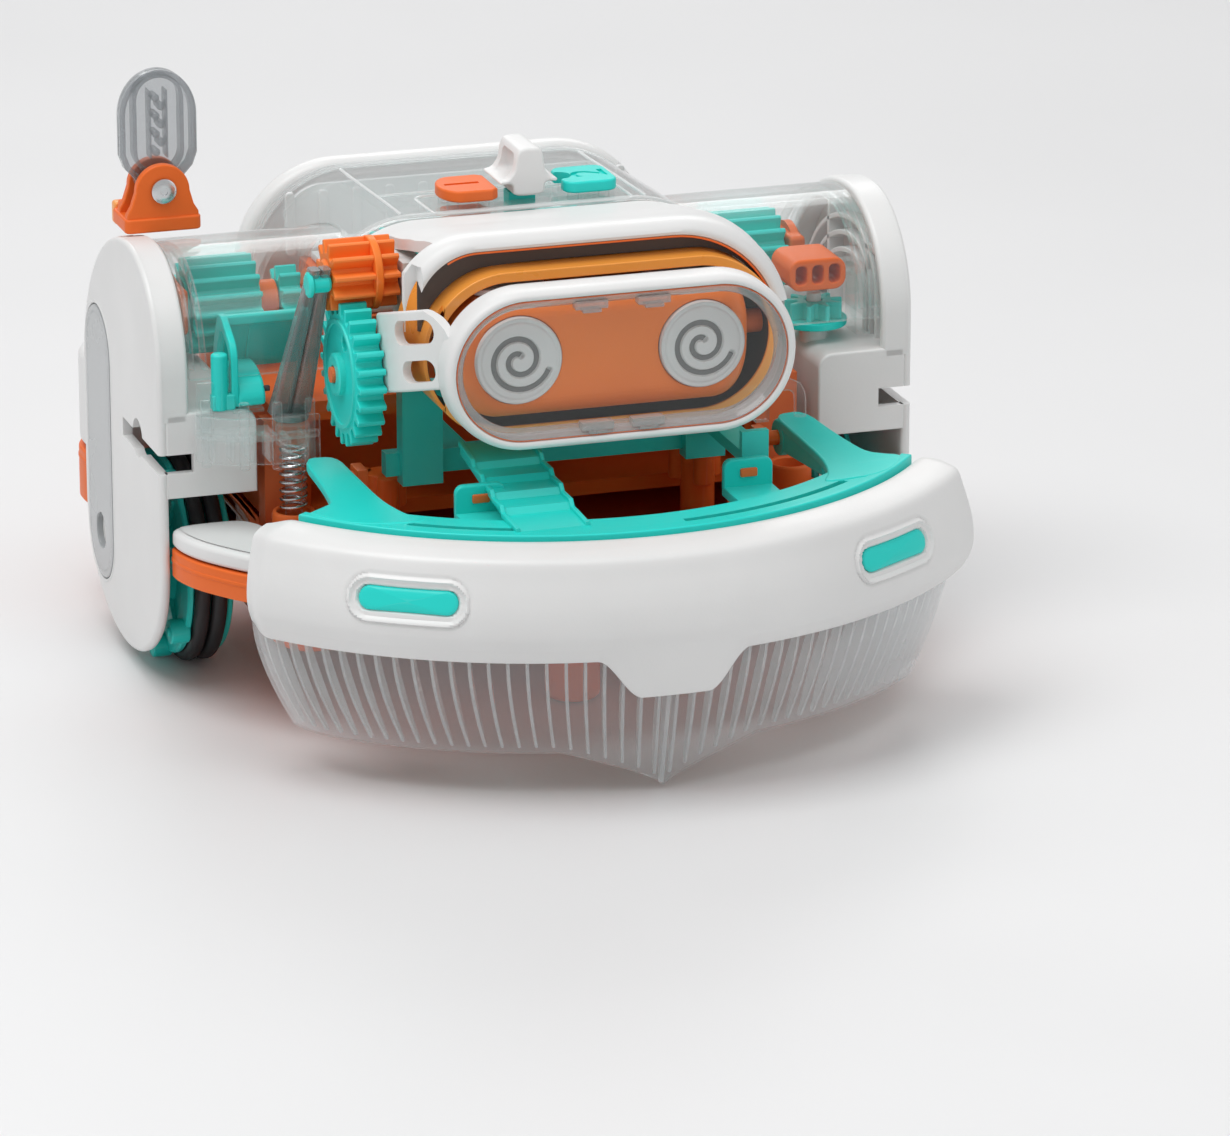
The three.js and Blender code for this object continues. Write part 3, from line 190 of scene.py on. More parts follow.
def sheen(tree, facing):
    """The share of light a smooth wall sends back: little head on, most of it at a glancing angle."""
    curve = node(tree, "Math", {"operation": "POWER"}, Value=facing)
    curve.inputs[1].default_value = 5.0
    total = node(tree, "Math", {"operation": "MULTIPLY_ADD"}, Value=curve.outputs[0])
    total.inputs[1].default_value = 0.8
    total.inputs[2].default_value = 0.028
    return total.outputs[0]


def metal(name, colour, rough):
    material, tree = new_tree(name)
    drift = spread(tree, noise(tree, 90.0), 0.0, 1.0)
    tone = blend_colours(tree, drift, scaled(colour, 0.9), scaled(colour, 1.05))
    gloss = spread(tree, noise(tree, 300.0), rough - 0.05, rough + 0.08)
    shader = node(tree, "BsdfPrincipled", Base_Color=tone, Metallic=1.0, Roughness=gloss,
                  Normal=surface_bump(tree, 900.0, 0.00003))
    return finished(material, tree, shader)


WHITE = (0.80, 0.80, 0.795)
TEAL = (0.018, 0.70, 0.63)
ORANGE = (0.86, 0.16, 0.026)
LOOKS = {
    "white": moulded("white_plastic", WHITE, 0.38, sss=0.04),
    "disc": moulded("disc_plastic", (0.74, 0.74, 0.74), 0.42),
    "teal": moulded("teal_plastic", TEAL, 0.33, shine=0.35),
    "orange": moulded("orange_plastic", ORANGE, 0.38, shine=0.22),
    "warm": moulded("warm_plastic", (0.95, 0.23, 0.035), 0.4, 600.0, 0.00001, shine=0.25),
    "amber": moulded("amber_plastic", (0.93, 0.36, 0.055), 0.3, coat=0.15),
    # Near-black plastic laid into gaps, holes and slots where there is only shade: painted shade.
    "dark": moulded("dark_painted_shade", (0.05, 0.043, 0.042), 0.5),
    "clear": see_through("clear_plastic", (0.985, 0.995, 0.995), (0.86, 0.88, 0.88), 0.015, 0.34),
    "lens": see_through("lens_plastic", (0.99, 0.995, 0.995), (0.80, 0.82, 0.83), 0.0, 0.12),
    "bevel": see_through("bevel_plastic", (0.90, 0.90, 0.90), (0.60, 0.60, 0.60), 0.35, 0.7, 0.04),
    # Pale, fairly opaque clear whose whiteness paints the highlight lines along ribs: painted highlight.
    "line": see_through("rib_painted_highlight", (0.98, 0.99, 0.99), (0.93, 0.94, 0.94), 0.4, 0.85),
    "shade": see_through("lever_plastic", (0.66, 0.68, 0.68), (0.30, 0.33, 0.33), 0.42, 0.8, 0.05),
    "frost": see_through("skirt_plastic", (0.95, 0.96, 0.965), (0.80, 0.81, 0.82), 0.10, 0.6, 0.07),
    "smoke": see_through("smoked_plastic", (0.80, 0.81, 0.82), (0.52, 0.54, 0.55), 0.14, 0.6, 0.05),
    "inset": see_through("inset_plastic", (0.72, 0.74, 0.75), (0.50, 0.52, 0.53), 0.62, 0.85, 0.12),
    # Dark grey laid into the spiral channel: painted shade in the groove.
    "groove": moulded("groove_painted_shade", (0.17, 0.17, 0.17), 0.5),
    "rubber": moulded("tyre_rubber", (0.022, 0.022, 0.024), 0.52, 2600.0, 0.00012),
    "steel": metal("spring_steel", (0.66, 0.67, 0.68), 0.22),
}


# ---------------------------------------------------------------- mesh helpers
def to_mesh(points, faces):
    mesh = bpy.data.meshes.new("part")
    mesh.from_pydata([tuple(p) for p in points], [], faces)
    mesh.update()
    return mesh


def tidy(mesh, merge=0.002):
    """Merges doubled points and turns every face outwards."""
    bm = bmesh.new()
    bm.from_mesh(mesh)
    bmesh.ops.remove_doubles(bm, verts=bm.verts, dist=merge)
    bmesh.ops.dissolve_degenerate(bm, edges=bm.edges, dist=merge / 4)
    bmesh.ops.recalc_face_normals(bm, faces=bm.faces)
    bm.to_mesh(mesh)
    bm.free()
    return mesh


def moved(mesh, matrix):
    """Moves a mesh, keeping its faces outwards when the move mirrors it."""
    mesh.transform(matrix)
    if matrix.determinant() < 0:
        mesh.flip_normals()
    return mesh


def mirrored(mesh):
    return moved(mesh.copy(), Matrix.Scale(-1, 4, Vector((1, 0, 0))))


def joined(*meshes):
    bm = bmesh.new()
    for mesh in meshes:
        bm.from_mesh(mesh)
    out = bpy.data.meshes.new("joined")
    bm.to_mesh(out)
    bm.free()
    return out


def modified(mesh, kind, settings, tool=None):
    """The mesh after one modifier, which may work with a second mesh as its tool."""
    owners = [bpy.data.objects.new("work", m) for m in (mesh, tool) if m is not None]
    for owner in owners:
        bpy.context.scene.collection.objects.link(owner)
    modifier = owners[0].modifiers.new("work", kind)
    for name, value in settings.items():
        setattr(modifier, name, value)
    if tool is not None:
        modifier.object = owners[1]
    depsgraph = bpy.context.evaluated_depsgraph_get()
    out = bpy.data.meshes.new_from_object(owners[0].evaluated_get(depsgraph))
    for owner in owners:
        bpy.data.objects.remove(owner)
    return out


def boolean(mesh, tool, operation="DIFFERENCE"):
    return modified(mesh, "BOOLEAN", {"operation": operation, "solver": "EXACT"}, tool)


def softened(mesh, width, segments):
    settings = {"width": width, "segments": segments, "limit_method": "ANGLE",
                "angle_limit": math.radians(35)}
    return modified(mesh, "BEVEL", settings)


AXES = {
    "x": Matrix(((0, 0, 1), (1, 0, 0), (0, 1, 0))),
    "y": Matrix(((1, 0, 0), (0, 0, 1), (0, 1, 0))),
    "z": Matrix(((1, 0, 0), (0, 1, 0), (0, 0, 1))),
}


def curve_mesh(curve, paths, cyclic):
    """The mesh of a curve object that runs along straight-sided paths of 3-D points."""
    for path in paths:
        spline = curve.splines.new("POLY")
        spline.points.add(len(path) - 1)
        for point, spot in zip(spline.points, path):
            point.co = (*spot, 1)
        spline.use_cyclic_u = cyclic
    owner = bpy.data.objects.new("curve", curve)
    mesh = bpy.data.meshes.new_from_object(owner)
    bpy.data.objects.remove(owner)
    return mesh


def slab(axis, outline, low, high, holes=(), edge=0.35, steps=2):
    """A plate with rounded edges. The outline is (y, z), (x, z) or (x, y) for a plate along x, y or z."""
    curve = bpy.data.curves.new("outline", "CURVE")
    curve.dimensions = "2D"
    curve.fill_mode = "BOTH"
    curve.extrude = (high - low) / 2 - edge
    curve.bevel_depth = edge
    curve.bevel_resolution = steps
    curve.offset = -edge
    mesh = curve_mesh(curve, [[(u, v, 0) for u, v in points] for points in [outline, *holes]], True)
    mesh.transform(Matrix.Translation((0, 0, (low + high) / 2)))
    mesh.transform(AXES[axis].to_4x4())
    return tidy(mesh)


def block(x0, x1, y0, y1, z0, z1, edge=0.4, steps=2):
    """A box with softened edges."""
    corners = [(x, y, z) for x in (x0, x1) for y in (y0, y1) for z in (z0, z1)]
    faces = [(0, 1, 3, 2), (4, 6, 7, 5), (0, 4, 5, 1), (2, 3, 7, 6), (0, 2, 6, 4), (1, 5, 7, 3)]
    mesh = tidy(to_mesh(corners, faces))
    return softened(mesh, edge, steps) if edge else mesh


def ring_faces(rings, size, closed_ring, closed_path):
    """Four-sided faces between equal rings of points, one ring after the other."""
    faces = []
    for i in range(rings if closed_path else rings - 1):
        k = (i + 1) % rings
        for j in range(size if closed_ring else size - 1):
            n = (j + 1) % size
            faces.append((i * size + j, i * size + n, k * size + n, k * size + j))
    return faces


def loft(rings, closed_path=False):
    """Joins equal closed rings of points into one surface, capped at its ends if it has any."""
    size = len(rings[0])
    points = [p for ring in rings for p in ring]
    faces = ring_faces(len(rings), size, True, closed_path)
    if not closed_path:
        faces.append(tuple(range(size)))
        faces.append(tuple(len(points) - size + k for k in reversed(range(size))))
    return tidy(to_mesh(points, faces), 0.0005)


def open_sweep(rings):
    """Joins equal open arches of points into one closed wall, capped at both feet."""
    size = len(rings[0])
    points = [p for ring in rings for p in ring]
    faces = ring_faces(len(rings), size, False, True)
    faces += [tuple(i * size + foot for i in range(len(rings))) for foot in (0, size - 1)]
    return tidy(to_mesh(points, faces), 0.0005)


def turned(axis, profile, a, b, steps=64):
    """A closed (r, along) profile turned about an axis through (a, b)."""
    rings = []
    for i in range(steps):
        angle = 2 * math.pi * i / steps
        c, s = math.cos(angle), math.sin(angle)
        ring = []
        for r, t in profile:
            u, v = a + r * c, b + r * s
            ring.append({"x": (t, u, v), "y": (u, t, v), "z": (u, v, t)}[axis])
        rings.append(ring)
    return tidy(loft(rings, closed_path=True), 0.001)


def rod(axis, radius, low, high, a, b, edge=0.3, steps=40):
    """A round bar with softened ends along an axis through (a, b)."""
    e = min(edge, radius * 0.6)
    profile = [(0.0, low), (radius - e, low)]
    profile += [(radius - e + e * math.sin(k), low + e - e * math.cos(k)) for k in (0.52, 1.05, 1.57)]
    profile += [(radius - e + e * math.cos(k), high - e + e * math.sin(k)) for k in (0.0, 0.52, 1.05, 1.57)]
    profile.append((0.0, high))
    return turned(axis, profile, a, b, steps)


def tube(points, radius, sides=8, cyclic=False):
    curve = bpy.data.curves.new("wire", "CURVE")
    curve.dimensions = "3D"
    curve.bevel_depth = radius
    curve.bevel_resolution = sides // 4
    curve.use_fill_caps = True
    return tidy(curve_mesh(curve, [points], cyclic), 0.0005)


def coil(x, y, z0, z1, radius, wire, turns):
    """An upright coil spring with closed ends."""
    points = []
    for i in range(turns * 28 + 1):
        t = i / (turns * 28)
        angle = 2 * math.pi * turns * t
        flat = max(0.0, min(1.0, (t - 0.06) / 0.88))
        points.append((x + radius * math.cos(angle), y + radius * math.sin(angle), z0 + (z1 - z0) * flat))
    return tube(points, wire)


def arc(cx, cy, rx, ry, start, end, steps):
    """Points along part of an ellipse, from one angle to another in degrees."""
    out = []
    for i in range(steps + 1):
        angle = math.radians(start + (end - start) * i / steps)
        out.append((cx + rx * math.cos(angle), cy + ry * math.sin(angle)))
    return out


def stadium(cx, cy, flat, radius, steps=24):
    """A bar with round ends: flat is half its straight length."""
    right = arc(cx + flat, cy, radius, radius, -90, 90, steps)
    return right + arc(cx - flat, cy, radius, radius, 90, 270, steps)


def rounded(x0, x1, y0, y1, radius, steps=8):
    """A rectangle with round corners."""
    corners = ((x1 - radius, y0 + radius), (x1 - radius, y1 - radius),
               (x0 + radius, y1 - radius), (x0 + radius, y0 + radius))
    return [point for k, (x, y) in enumerate(corners)
            for point in arc(x, y, radius, radius, 90 * k - 90, 90 * k, steps)]


def swapped(points):
    return [(b, a) for a, b in points]


def smooth_step(low, high, value):
    t = max(0.0, min(1.0, (value - low) / (high - low)))
    return t * t * (3 - 2 * t)


def spline_between(keys, t):
    """Value of a smooth curve through sorted (position, value) keys."""
    if t <= keys[0][0]:
        return keys[0][1]
    for (a, va), (b, vb) in zip(keys, keys[1:]):
        if t <= b:
            k = (t - a) / (b - a)
            k = k * k * (3 - 2 * k) * 0.35 + k * 0.65
            return va + (vb - va) * k
    return keys[-1][1]


# ---------------------------------------------------------------- putting pieces into the scene
def shade(mesh, angle=32):
    mesh.shade_smooth()
    mesh.set_sharp_from_angle(angle=math.radians(angle))


def weight_normals(piece):
    """Keeps flat faces flat beside their rounded edges."""
    normals = piece.modifiers.new("normals", "WEIGHTED_NORMAL")
    normals.keep_sharp = True


def place(name, mesh, look, body, replaces=(), angle=32):
    """Turns a millimetre mesh into a finished piece that rides on a body and stands for CAD nodes."""
    mesh.transform(Matrix.Diagonal((MM, MM, MM, 1)) @ Matrix.Translation((0, AXLE_Y, 0)))
    mesh.name = name
    mesh.materials.clear()
    mesh.materials.append(LOOKS[look])
    shade(mesh, angle)
    piece = bpy.data.objects.new(name, mesh)
    bpy.context.scene.collection.objects.link(piece)
    weight_normals(piece)
    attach(piece, body)
    if replaces:
        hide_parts(*replaces)


def place_pair(name, mesh, look, replaces, angle=32):
    """Places a chassis piece on the right and its mirror image on the left."""
    for side, which in SIDES:
        nodes = [replaces.format(which)] if replaces else ()
        place(name.format(which), sided(mesh, side), look, "chassis", nodes, angle)


def sided(mesh, side):
    """A copy of a right-hand mesh for the right (1) or the left (-1) side."""
    return mesh.copy() if side > 0 else mirrored(mesh)


def keep_node(node_name, look):
    """Keeps a CAD node, with its edges rounded and a finished material."""
    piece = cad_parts[node_name]
    piece.data.materials.clear()
    piece.data.materials.append(LOOKS[look])
    edges = piece.modifiers.new("edges", "BEVEL")
    edges.width = 0.35 * MM
    edges.segments = 2
    edges.limit_method = "ANGLE"
    edges.angle_limit = math.radians(38)
    shade(piece.data, 38)
    weight_normals(piece)


# ---------------------------------------------------------------- shared outlines
def plate_outline(inset=0.0):
    """A side plate seen from the side, as (y, z)."""
    front, back, foot = 28.5 - inset, 49.5 - inset, 39 - inset
    return (arc(-8, 84.5, front, front, 180, 90, 22) + arc(-8, 66, back, 47 - inset, 90, 0, 28)[1:]
            + arc(2.5, 34, foot, 30 - inset, 0, -180, 44))


def arch_above(inset, front_z, back_z):
    """The part of the plate outline that a pod's clear tube follows."""
    points = plate_outline(inset)[:51]
    front = [(points[0][0], front_z)] if front_z < 84.5 else []
    upper = [p for p in points if p[1] > (back_z if p[0] > 0 else front_z)]
    return front + upper + [(upper[-1][0] + 0.4, back_z)]


def shifted(points, distance):
    """A closed outline moved inwards by distance, along the corners' bisectors."""
    area = sum(a[0] * b[1] - b[0] * a[1] for a, b in zip(points, points[1:] + points[:1]))
    side = 1 if area > 0 else -1
    out = []
    for i in range(len(points)):
        p, q, r = Vector(points[i - 1]), Vector(points[i]), Vector(points[(i + 1) % len(points)])
        a, b = (q - p).normalized(), (r - q).normalized()
        across = Vector((-(a.y + b.y), a.x + b.x))
        if across.length < 1e-6:
            across = Vector((-a.y, a.x))
        across.normalize()
        stretch = min(2.0, 1 / max(0.3, across.dot(Vector((-a.y, a.x)))))
        out.append(tuple(q + across * distance * side * stretch))
    return out


def softened_corners(points, rounds=2, cut=0.25):
    """Corners of a closed outline cut off again and again, for a smooth run."""
    for _ in range(rounds):
        out = []
        for i, (x, y) in enumerate(points):
            u, v = points[(i + 1) % len(points)]
            out.append((x + (u - x) * cut, y + (v - y) * cut))
            out.append((u + (x - u) * cut, v + (y - v) * cut))
        points = out
    return points


def mirrored_plan(half):
    return half + [(-x, y) for x, y in reversed(half) if abs(x) > 0.01]


def body_outline(half, top, radius, bottom, inset, left=None):
    """The body's open arch seen from the front, moved in by inset; left is the left corner's radius."""
    h, t, r = half - inset, top - inset, radius - inset * 0.7
    q = r if left is None else left - inset * 0.7
    span = (h - r) - (-h + q)
    return ([(h, bottom), (h, bottom + (t - r - bottom) * 0.5)] + arc(h - r, t - r, r, r, 0, 90, 18)
            + [(-h + q + span * k, t) for k in (0.75, 0.5, 0.25)] + arc(-h + q, t - q, q, q, 90, 180, 18)
            + [(-h, bottom + (t - q - bottom) * 0.5), (-h, bottom)])


# The body along its length: y, half width, top, and the radii of the right and left corners.
BODY_KEYS = [
    (-84.8, 50.0, 128.2, 30, 18), (-80, 51.0, 128.8, 30, 19), (-74, 52.4, 127.8, 30, 21),
    (-60, 55.2, 124.8, 28, 25), (-46, 56.8, 121.6, 27, 27), (-24, 56.0, 117.6, 27, 27),
    (45.7, 55.0, 114.9, 27, 27), (47, 56.0, 115.2, 27, 27), (49.5, 56.6, 115.6, 27, 27),
    (54, 56.0, 114.6, 27, 27),
]


def body_measures(y):
    """Half width, top, right corner radius and left corner radius of the body at y."""
    return [spline_between([(key[0], key[i]) for key in BODY_KEYS], y) for i in (1, 2, 3, 4)]


def body_at(y, inset, bottom):
    """The body's arch at a place along its length, as 3-D points."""
    half, top, radius, left = body_measures(y)
    return [(x, y, z) for x, z in body_outline(half, top, radius, bottom, inset, left)]


def body_top_at(x, y):
    """Height of the body's outer surface over a point of the plan."""
    half, top, radius, _ = body_measures(y)
    over = max(0.0, abs(x) - (half - radius))
    return top - radius + math.sqrt(max(0.0, radius * radius - over * over))


def body_shell(path, bottom):
    """Sweeps a closed (y, inset) path round the body's arch."""
    return open_sweep([body_at(y, inset, bottom) for y, inset in path])


def wall_path(front, back, thick, step=3.0, roll=0.9):
    """Closed (y, inset) path of a wall with rounded ends."""
    count = max(2, round((back - front) / step))
    ys = [front + roll + (back - front - 2 * roll) * i / count for i in range(count + 1)]
    half = thick / 2
    turns = [(roll * math.sin(a), half * math.cos(a)) for a in (0.8, 1.57, 2.3)]
    return ([(y, 0.0) for y in ys] + [(back - roll + along, half - up) for along, up in turns]
            + [(y, thick) for y in reversed(ys)]
            + [(front + roll - along, half + up) for along, up in turns])


def swept_stadium(path):
    """Sweeps a closed (inset, y) path round the visor's upright stadium."""
    rings = [[(x, y, v) for x, v in stadium(0, FACE_Z, RING_FLAT, RING_R - d, 40)] for d, y in path]
    return loft(rings, closed_path=True)


def gear_outline(teeth, a, b, phase=0.0):
    """Straight-flanked teeth with rounded tips and roots."""
    pitch = GEAR_MODULE * teeth / 2
    tip, root = pitch + GEAR_MODULE * 0.92, pitch - GEAR_MODULE * 1.3
    step = 2 * math.pi / teeth
    half = step * 0.215
    tip_half = max(half - math.tan(0.36) * (GEAR_MODULE * 0.92 / pitch), step * 0.06)
    root_half = min(half + math.tan(0.3) * GEAR_MODULE * 1.1 / pitch, step * 0.36)
    rise = [(root, root_half + 0.02), (root + 0.35, root_half - 0.015), (tip - 0.22, tip_half + 0.012),
            (tip, tip_half * 0.55)]
    tooth = [(r, -d) for r, d in rise] + rise[::-1]
    return [(a + r * math.cos(phase + i * step + d), b + r * math.sin(phase + i * step + d))
            for i in range(teeth) for r, d in tooth]


def circle(a, b, radius, steps=40):
    return arc(a, b, radius, radius, 0, 360 - 360 / steps, steps - 1)


# ---------------------------------------------------------------- side plates, wheel housings and insets
def inset_outline(grow=0.0):
    return swapped(stadium(51.5, 25, 24, 12.5 + grow))


def side_plate():
    """Right side plate: outer skin, rolled upper rim, arch ribs and the wheel housing."""
    skin = HALF_WIDTH - PLATE_SKIN
    inner = HALF_WIDTH - PLATE_THICK
    plate = slab("x", plate_outline(), skin, HALF_WIDTH, edge=1.2, steps=5)
    recess = slab("x", inset_outline(0.25), HALF_WIDTH - 1.4, HALF_WIDTH + 2, edge=0.05, steps=1)
    plate = keyhole_slot(boolean(plate, recess))
    below = block(inner - 8, HALF_WIDTH + 8, -80, 80, -20, HOUSING_TOP - 2, 0)
    rims = [slab("x", plate_outline(), inner, HALF_WIDTH - 0.6, [plate_outline(3.2)], edge=1.1, steps=5)]
    rims += [slab("x", plate_outline(d), inner + 1.5, skin + 0.4, [plate_outline(d + 1.4)], 0.3)
             for d in (9.5, 14.0, 18.5)]
    rims = [boolean(rim, below) for rim in rims]
    rib_sides = ((9, 10.6, HOUSING_TOP - 1, 110), (-31.5, -18, 98, 99.6), (-20, -18.4, HOUSING_TOP - 1, 99))
    ribs = [block(inner + 1.5, skin + 0.3, *sides, 0.3) for sides in rib_sides]
    return joined(plate, *rims, *ribs, wheel_housing())


def wheel_housing():
    low, high, skin = HOUSING_LOW, HOUSING_TOP, HALF_WIDTH - PLATE_SKIN
    top_corner = arc(HOUSING_IN + 4, high - 4, 4, 4, 180, 90, 6)
    profile = [(HOUSING_IN, low), *top_corner, (skin + 0.6, high), (skin + 0.6, low)]
    outer = slab("y", profile, -36.5, 41.5, edge=0.6, steps=3)
    well = block(HOUSING_IN + 2, skin + 4, -34, 34, low - 4, high - 6, 0)
    return keyhole_slot(boolean(outer, well))


def keyhole_slot(mesh):
    """The narrow slot with a round bump that runs in from the plate's front edge."""
    inner = HALF_WIDTH - PLATE_THICK - 1
    slot = block(inner, HALF_WIDTH + 4, -44, 0, 60.5, 65.5, 0)
    bump = rod("x", 5, inner, HALF_WIDTH + 4, -15, 64.2, 0.1)
    return boolean(boolean(mesh, slot), bump)


def side_plates():
    mesh = joined(side_plate(), side_inset_lip())
    stub = [rod("z", radius, HOUSING_TOP - 1, top, TABLE_X, TABLE_Y)
            for radius, top in ((1.9, 88), (3.6, 79.2))]
    place("side_plate_left_shell", mirrored(mesh), "white", "chassis", ["side_plate_left"])
    place("side_plate_right_shell", joined(mesh, joined(*stub)), "white", "chassis", ["side_plate_right"])


def side_inset_lip():
    """Thin raised lip round the inset's recess."""
    return slab("x", inset_outline(1.1), HALF_WIDTH - 0.6, HALF_WIDTH + 0.15, [inset_outline(0.3)], 0.25)


def side_insets():
    """Smoked panels let into the side plates, each with a round socket whose dark floor is painted shade.
    """
    y, z = 25, 27.5
    panel = joined(
        slab("x", inset_outline(), HALF_WIDTH - 1.2, HALF_WIDTH + 0.2, [circle(y, z, 4.6)], 0.45, 3),
        slab("x", inset_outline(-1.6), HALF_WIDTH - 0.4, HALF_WIDTH + 0.2, [inset_outline(-2.2)], 0.1),
        turned("x", [(4.6, 98.2), (5.4, 98.2), (5.4, 99.2), (4.6, 99.2)], y, z))
    # A dark disc behind the panel's hole: painted shade in the socket.
    cup = rod("x", 4.4, 97.3, 97.9, y, z)
    for side, which in SIDES:
        place(f"side_inset_{which}_panel", sided(panel, side), "inset", "chassis", [f"side_inset_{which}"])
        place(f"side_inset_{which}_socket", sided(cup, side), "dark", "chassis")


# ---------------------------------------------------------------- wheels
def wheel_hub():
    profile = [
        (0.01, 77.6), (25.0, 78.2), (25.5, 78.6), (25.5, 79.6), (25.0, 80.1), (23.8, 80.3), (23.5, 80.8),
        (23.5, 88.0), (23.8, 88.5), (25.2, 88.7), (25.7, 89.0), (25.7, 89.9), (25.2, 90.3), (20, 90.6),
        (19, 90.0), (13.5, 90.0), (12, 91.2), (10.6, 93.2), (10, 94), (5, 94), (4.4, 93), (0.01, 93),
    ]
    parts = [turned("x", profile, 0, AXLE_Z, 96)]
    lugs = 7
    for i in range(lugs):
        angle = 2 * math.pi * i / lugs + 0.2
        a, b = 24.3 * math.cos(angle), AXLE_Z + 24.3 * math.sin(angle)
        parts.append(rod("x", 3.2, 89, 94, a, b, 0.5))
        parts.append(rod("x", 1.2, 93, 94.6, a, b, 0.3, 20))
    for i in range(lugs):
        turn = Matrix.Rotation(2 * math.pi * (i + 0.5) / lugs + 0.2, 4, "X")
        spoke = block(89.6, 91.2, -0.7, 0.7, 11, 22, 0.3)
        parts.append(moved(spoke, Matrix.Translation((0, 0, AXLE_Z)) @ turn))
    parts.append(rod("x", 2, 62, 78, 0, AXLE_Z))
    return joined(*parts)


def tyre(x):
    """Soft ring with two fine tread lines."""
    tyre_r, wire, steps = 28, 2.1, 28
    section = []
    for i in range(steps):
        angle = 2 * math.pi * i / steps
        r = wire * (1 + 0.02 * math.cos(2 * angle)) - (0.12 if i in (5, 9) else 0.0)
        section.append((min(tyre_r - wire + r * math.cos(angle), 27.96), x + r * math.sin(angle)))
    return turned("x", section, 0, AXLE_Z, 128)


def wheels():
    hub = wheel_hub()
    for side, which in SIDES:
        body = f"wheel_{which}"
        place(f"{body}_hub", sided(hub, side), "teal", body, [f"wheel_hub_{which}"])
        for x, ring in ((86.5, "outer"), (82.1, "inner")):
            place(f"{body}_tyre_{ring}", tyre(x * side), "rubber", body, [f"tyre_{which}_{ring}"])


# ---------------------------------------------------------------- tray, caps and rear cover
def tray_half():
    """Right half of the tray seen from above."""
    return [
        (0, -103), (25, -100), (50, -92), (72, -76), (86, -62), (94, -50), (97, -41), (97, -33),
        (71.5, -33), (71.5, 44), (96, 44), (98, 50), (98, 58), (95, 65), (88, REAR_Y), (0, REAR_Y),
    ]


def tray_outline(inset=0.0):
    plan = softened_corners(mirrored_plan(tray_half()), 3, 0.2)
    return shifted(plan, inset) if inset else plan


def tray_shell():
    floor = below_fender(slab("z", tray_outline(0.3), TRAY_LOW, TRAY_LOW + 2.4, edge=0.8, steps=3))
    wall = below_fender(slab("z", tray_outline(), TRAY_LOW, TRAY_TOP, [tray_outline(2.3)], 0.55, 3))
    corner = boolean(slab("z", tray_outline(0.25), FENDER_LOW, FENDER_LOW + 2.2, edge=0.5, steps=3),
                     block(71, 110, -110, -32, TRAY_LOW, TRAY_TOP, 0), "INTERSECT")
    side = block(69.8, 72, -74, -33, TRAY_LOW, FENDER_LOW + 2.2, 0.4)
    bead = slab("z", tray_outline(-0.15), TRAY_TOP - 3.4, TRAY_TOP - 2.2, [tray_outline(0.4)], 0.3)
    belly = slab("z", rounded(-71.5, 71.5, -50, 44, 9), BELLY_LOW, TRAY_LOW + 1, edge=2.5, steps=4)
    inner_wall = slab("z", rounded(-71.5, 71.5, -50, 44, 5), TRAY_LOW, TRAY_TOP,
                      [rounded(-69.3, 69.3, -47.8, 41.8, 4)], 0.4)
    return [floor, wall, bead, belly, inner_wall, corner, mirrored(corner), side, mirrored(side)]


def below_fender(mesh):
    """Lifts the tray's underside where it carries the fender caps."""
    corner = block(72, 110, -110, -32, TRAY_LOW - 2, FENDER_LOW, 0)
    return boolean(boolean(mesh, corner), mirrored(corner))


def tray_rails():
    """Raised rails and ribs on the tray's floor, in front of the gearbox."""
    low, high = TRAY_LOW + 2, TRAY_LOW + 8
    parts = [slab("z", plan_arc(near, far, -reach, reach), low, TRAY_LOW + 6, edge=0.4)
             for near, far, reach in ((57.0, 59.2, 40), (64.0, 65.2, 44), (46.0, 47.4, 52))]
    parts += [block(x - 0.7, x + 0.7, -84 + abs(x) * 0.35, -52, low, high, 0.3)
              for x in (-56, -49, -28, -20, 20, 28, 49, 56)]
    parts += [slab("z", rounded(x - 5.5, x + 5.5, -79.5, -68.5, 1.2), low, high,
                   [rounded(x - 3.9, x + 3.9, -77.9, -70.1, 0.8)], 0.35) for x in (-8, 8)]
    return parts


def plan_arc(r0, r1, start, end, steps=60):
    """A curved band seen from above, centred on the bumper's centre."""
    outer = arc(0, BUMPER_Y, r1, r1, -90 + start, -90 + end, steps)
    inner = arc(0, BUMPER_Y, r0, r0, -90 + end, -90 + start, steps)
    return outer + inner


def lobed_boss(x, y):
    lobes = [2 * math.pi * i / 3 + 0.5 for i in range(3)]
    return joined(rod("z", 4.4, BELLY_LOW + 2, 56, x, y, 0.5),
                  *[rod("z", 2.6, 46, 56, x + 5 * math.cos(a), y + 5 * math.sin(a), 0.5) for a in lobes])


def tray_posts():
    """Spring cups, bosses, clips and pivots on both sides, and the two glides under the belly."""
    cup = [(4.3, 38), (5.2, 38), (5.6, 40), (5.6, 48.2), (5.2, 49), (4.6, 49), (4.3, 48.6)]
    parts = []
    for s in (-1, 1):
        x, clip = s * abs(POST_X), s * CLIP_X
        parts += [
            turned("z", cup, x, POST_Y), rod("z", 6.6, BELLY_LOW + 1, 40, x, POST_Y, 1.0),
            lobed_boss(s * 42, -36), block(clip - 3.4, clip + 3.4, -92.6, -90.6, TRAY_LOW + 2, 63, 0.35),
            block(clip - 3.4, clip + 3.4, -93.6, -90.8, 61, 63, 0.3),
            block(*sorted((s * 51.4, s * 54.4)), -56.4, -49.6, TRAY_LOW + 2, 63.4, 0.5),
            rod("x", 1.9, *sorted((s * 54, s * 62)), PIVOT_Y, PIVOT_Z),
        ]
    return parts + [rod("z", 7, 0.3, TRAY_LOW + 1, 0, y, 1.6) for y in (-62, 56)]


def chassis_tray():
    mesh = joined(*tray_shell(), *tray_rails(), *tray_posts())
    place("tray", mesh, "orange", "chassis", ["chassis_tray"])


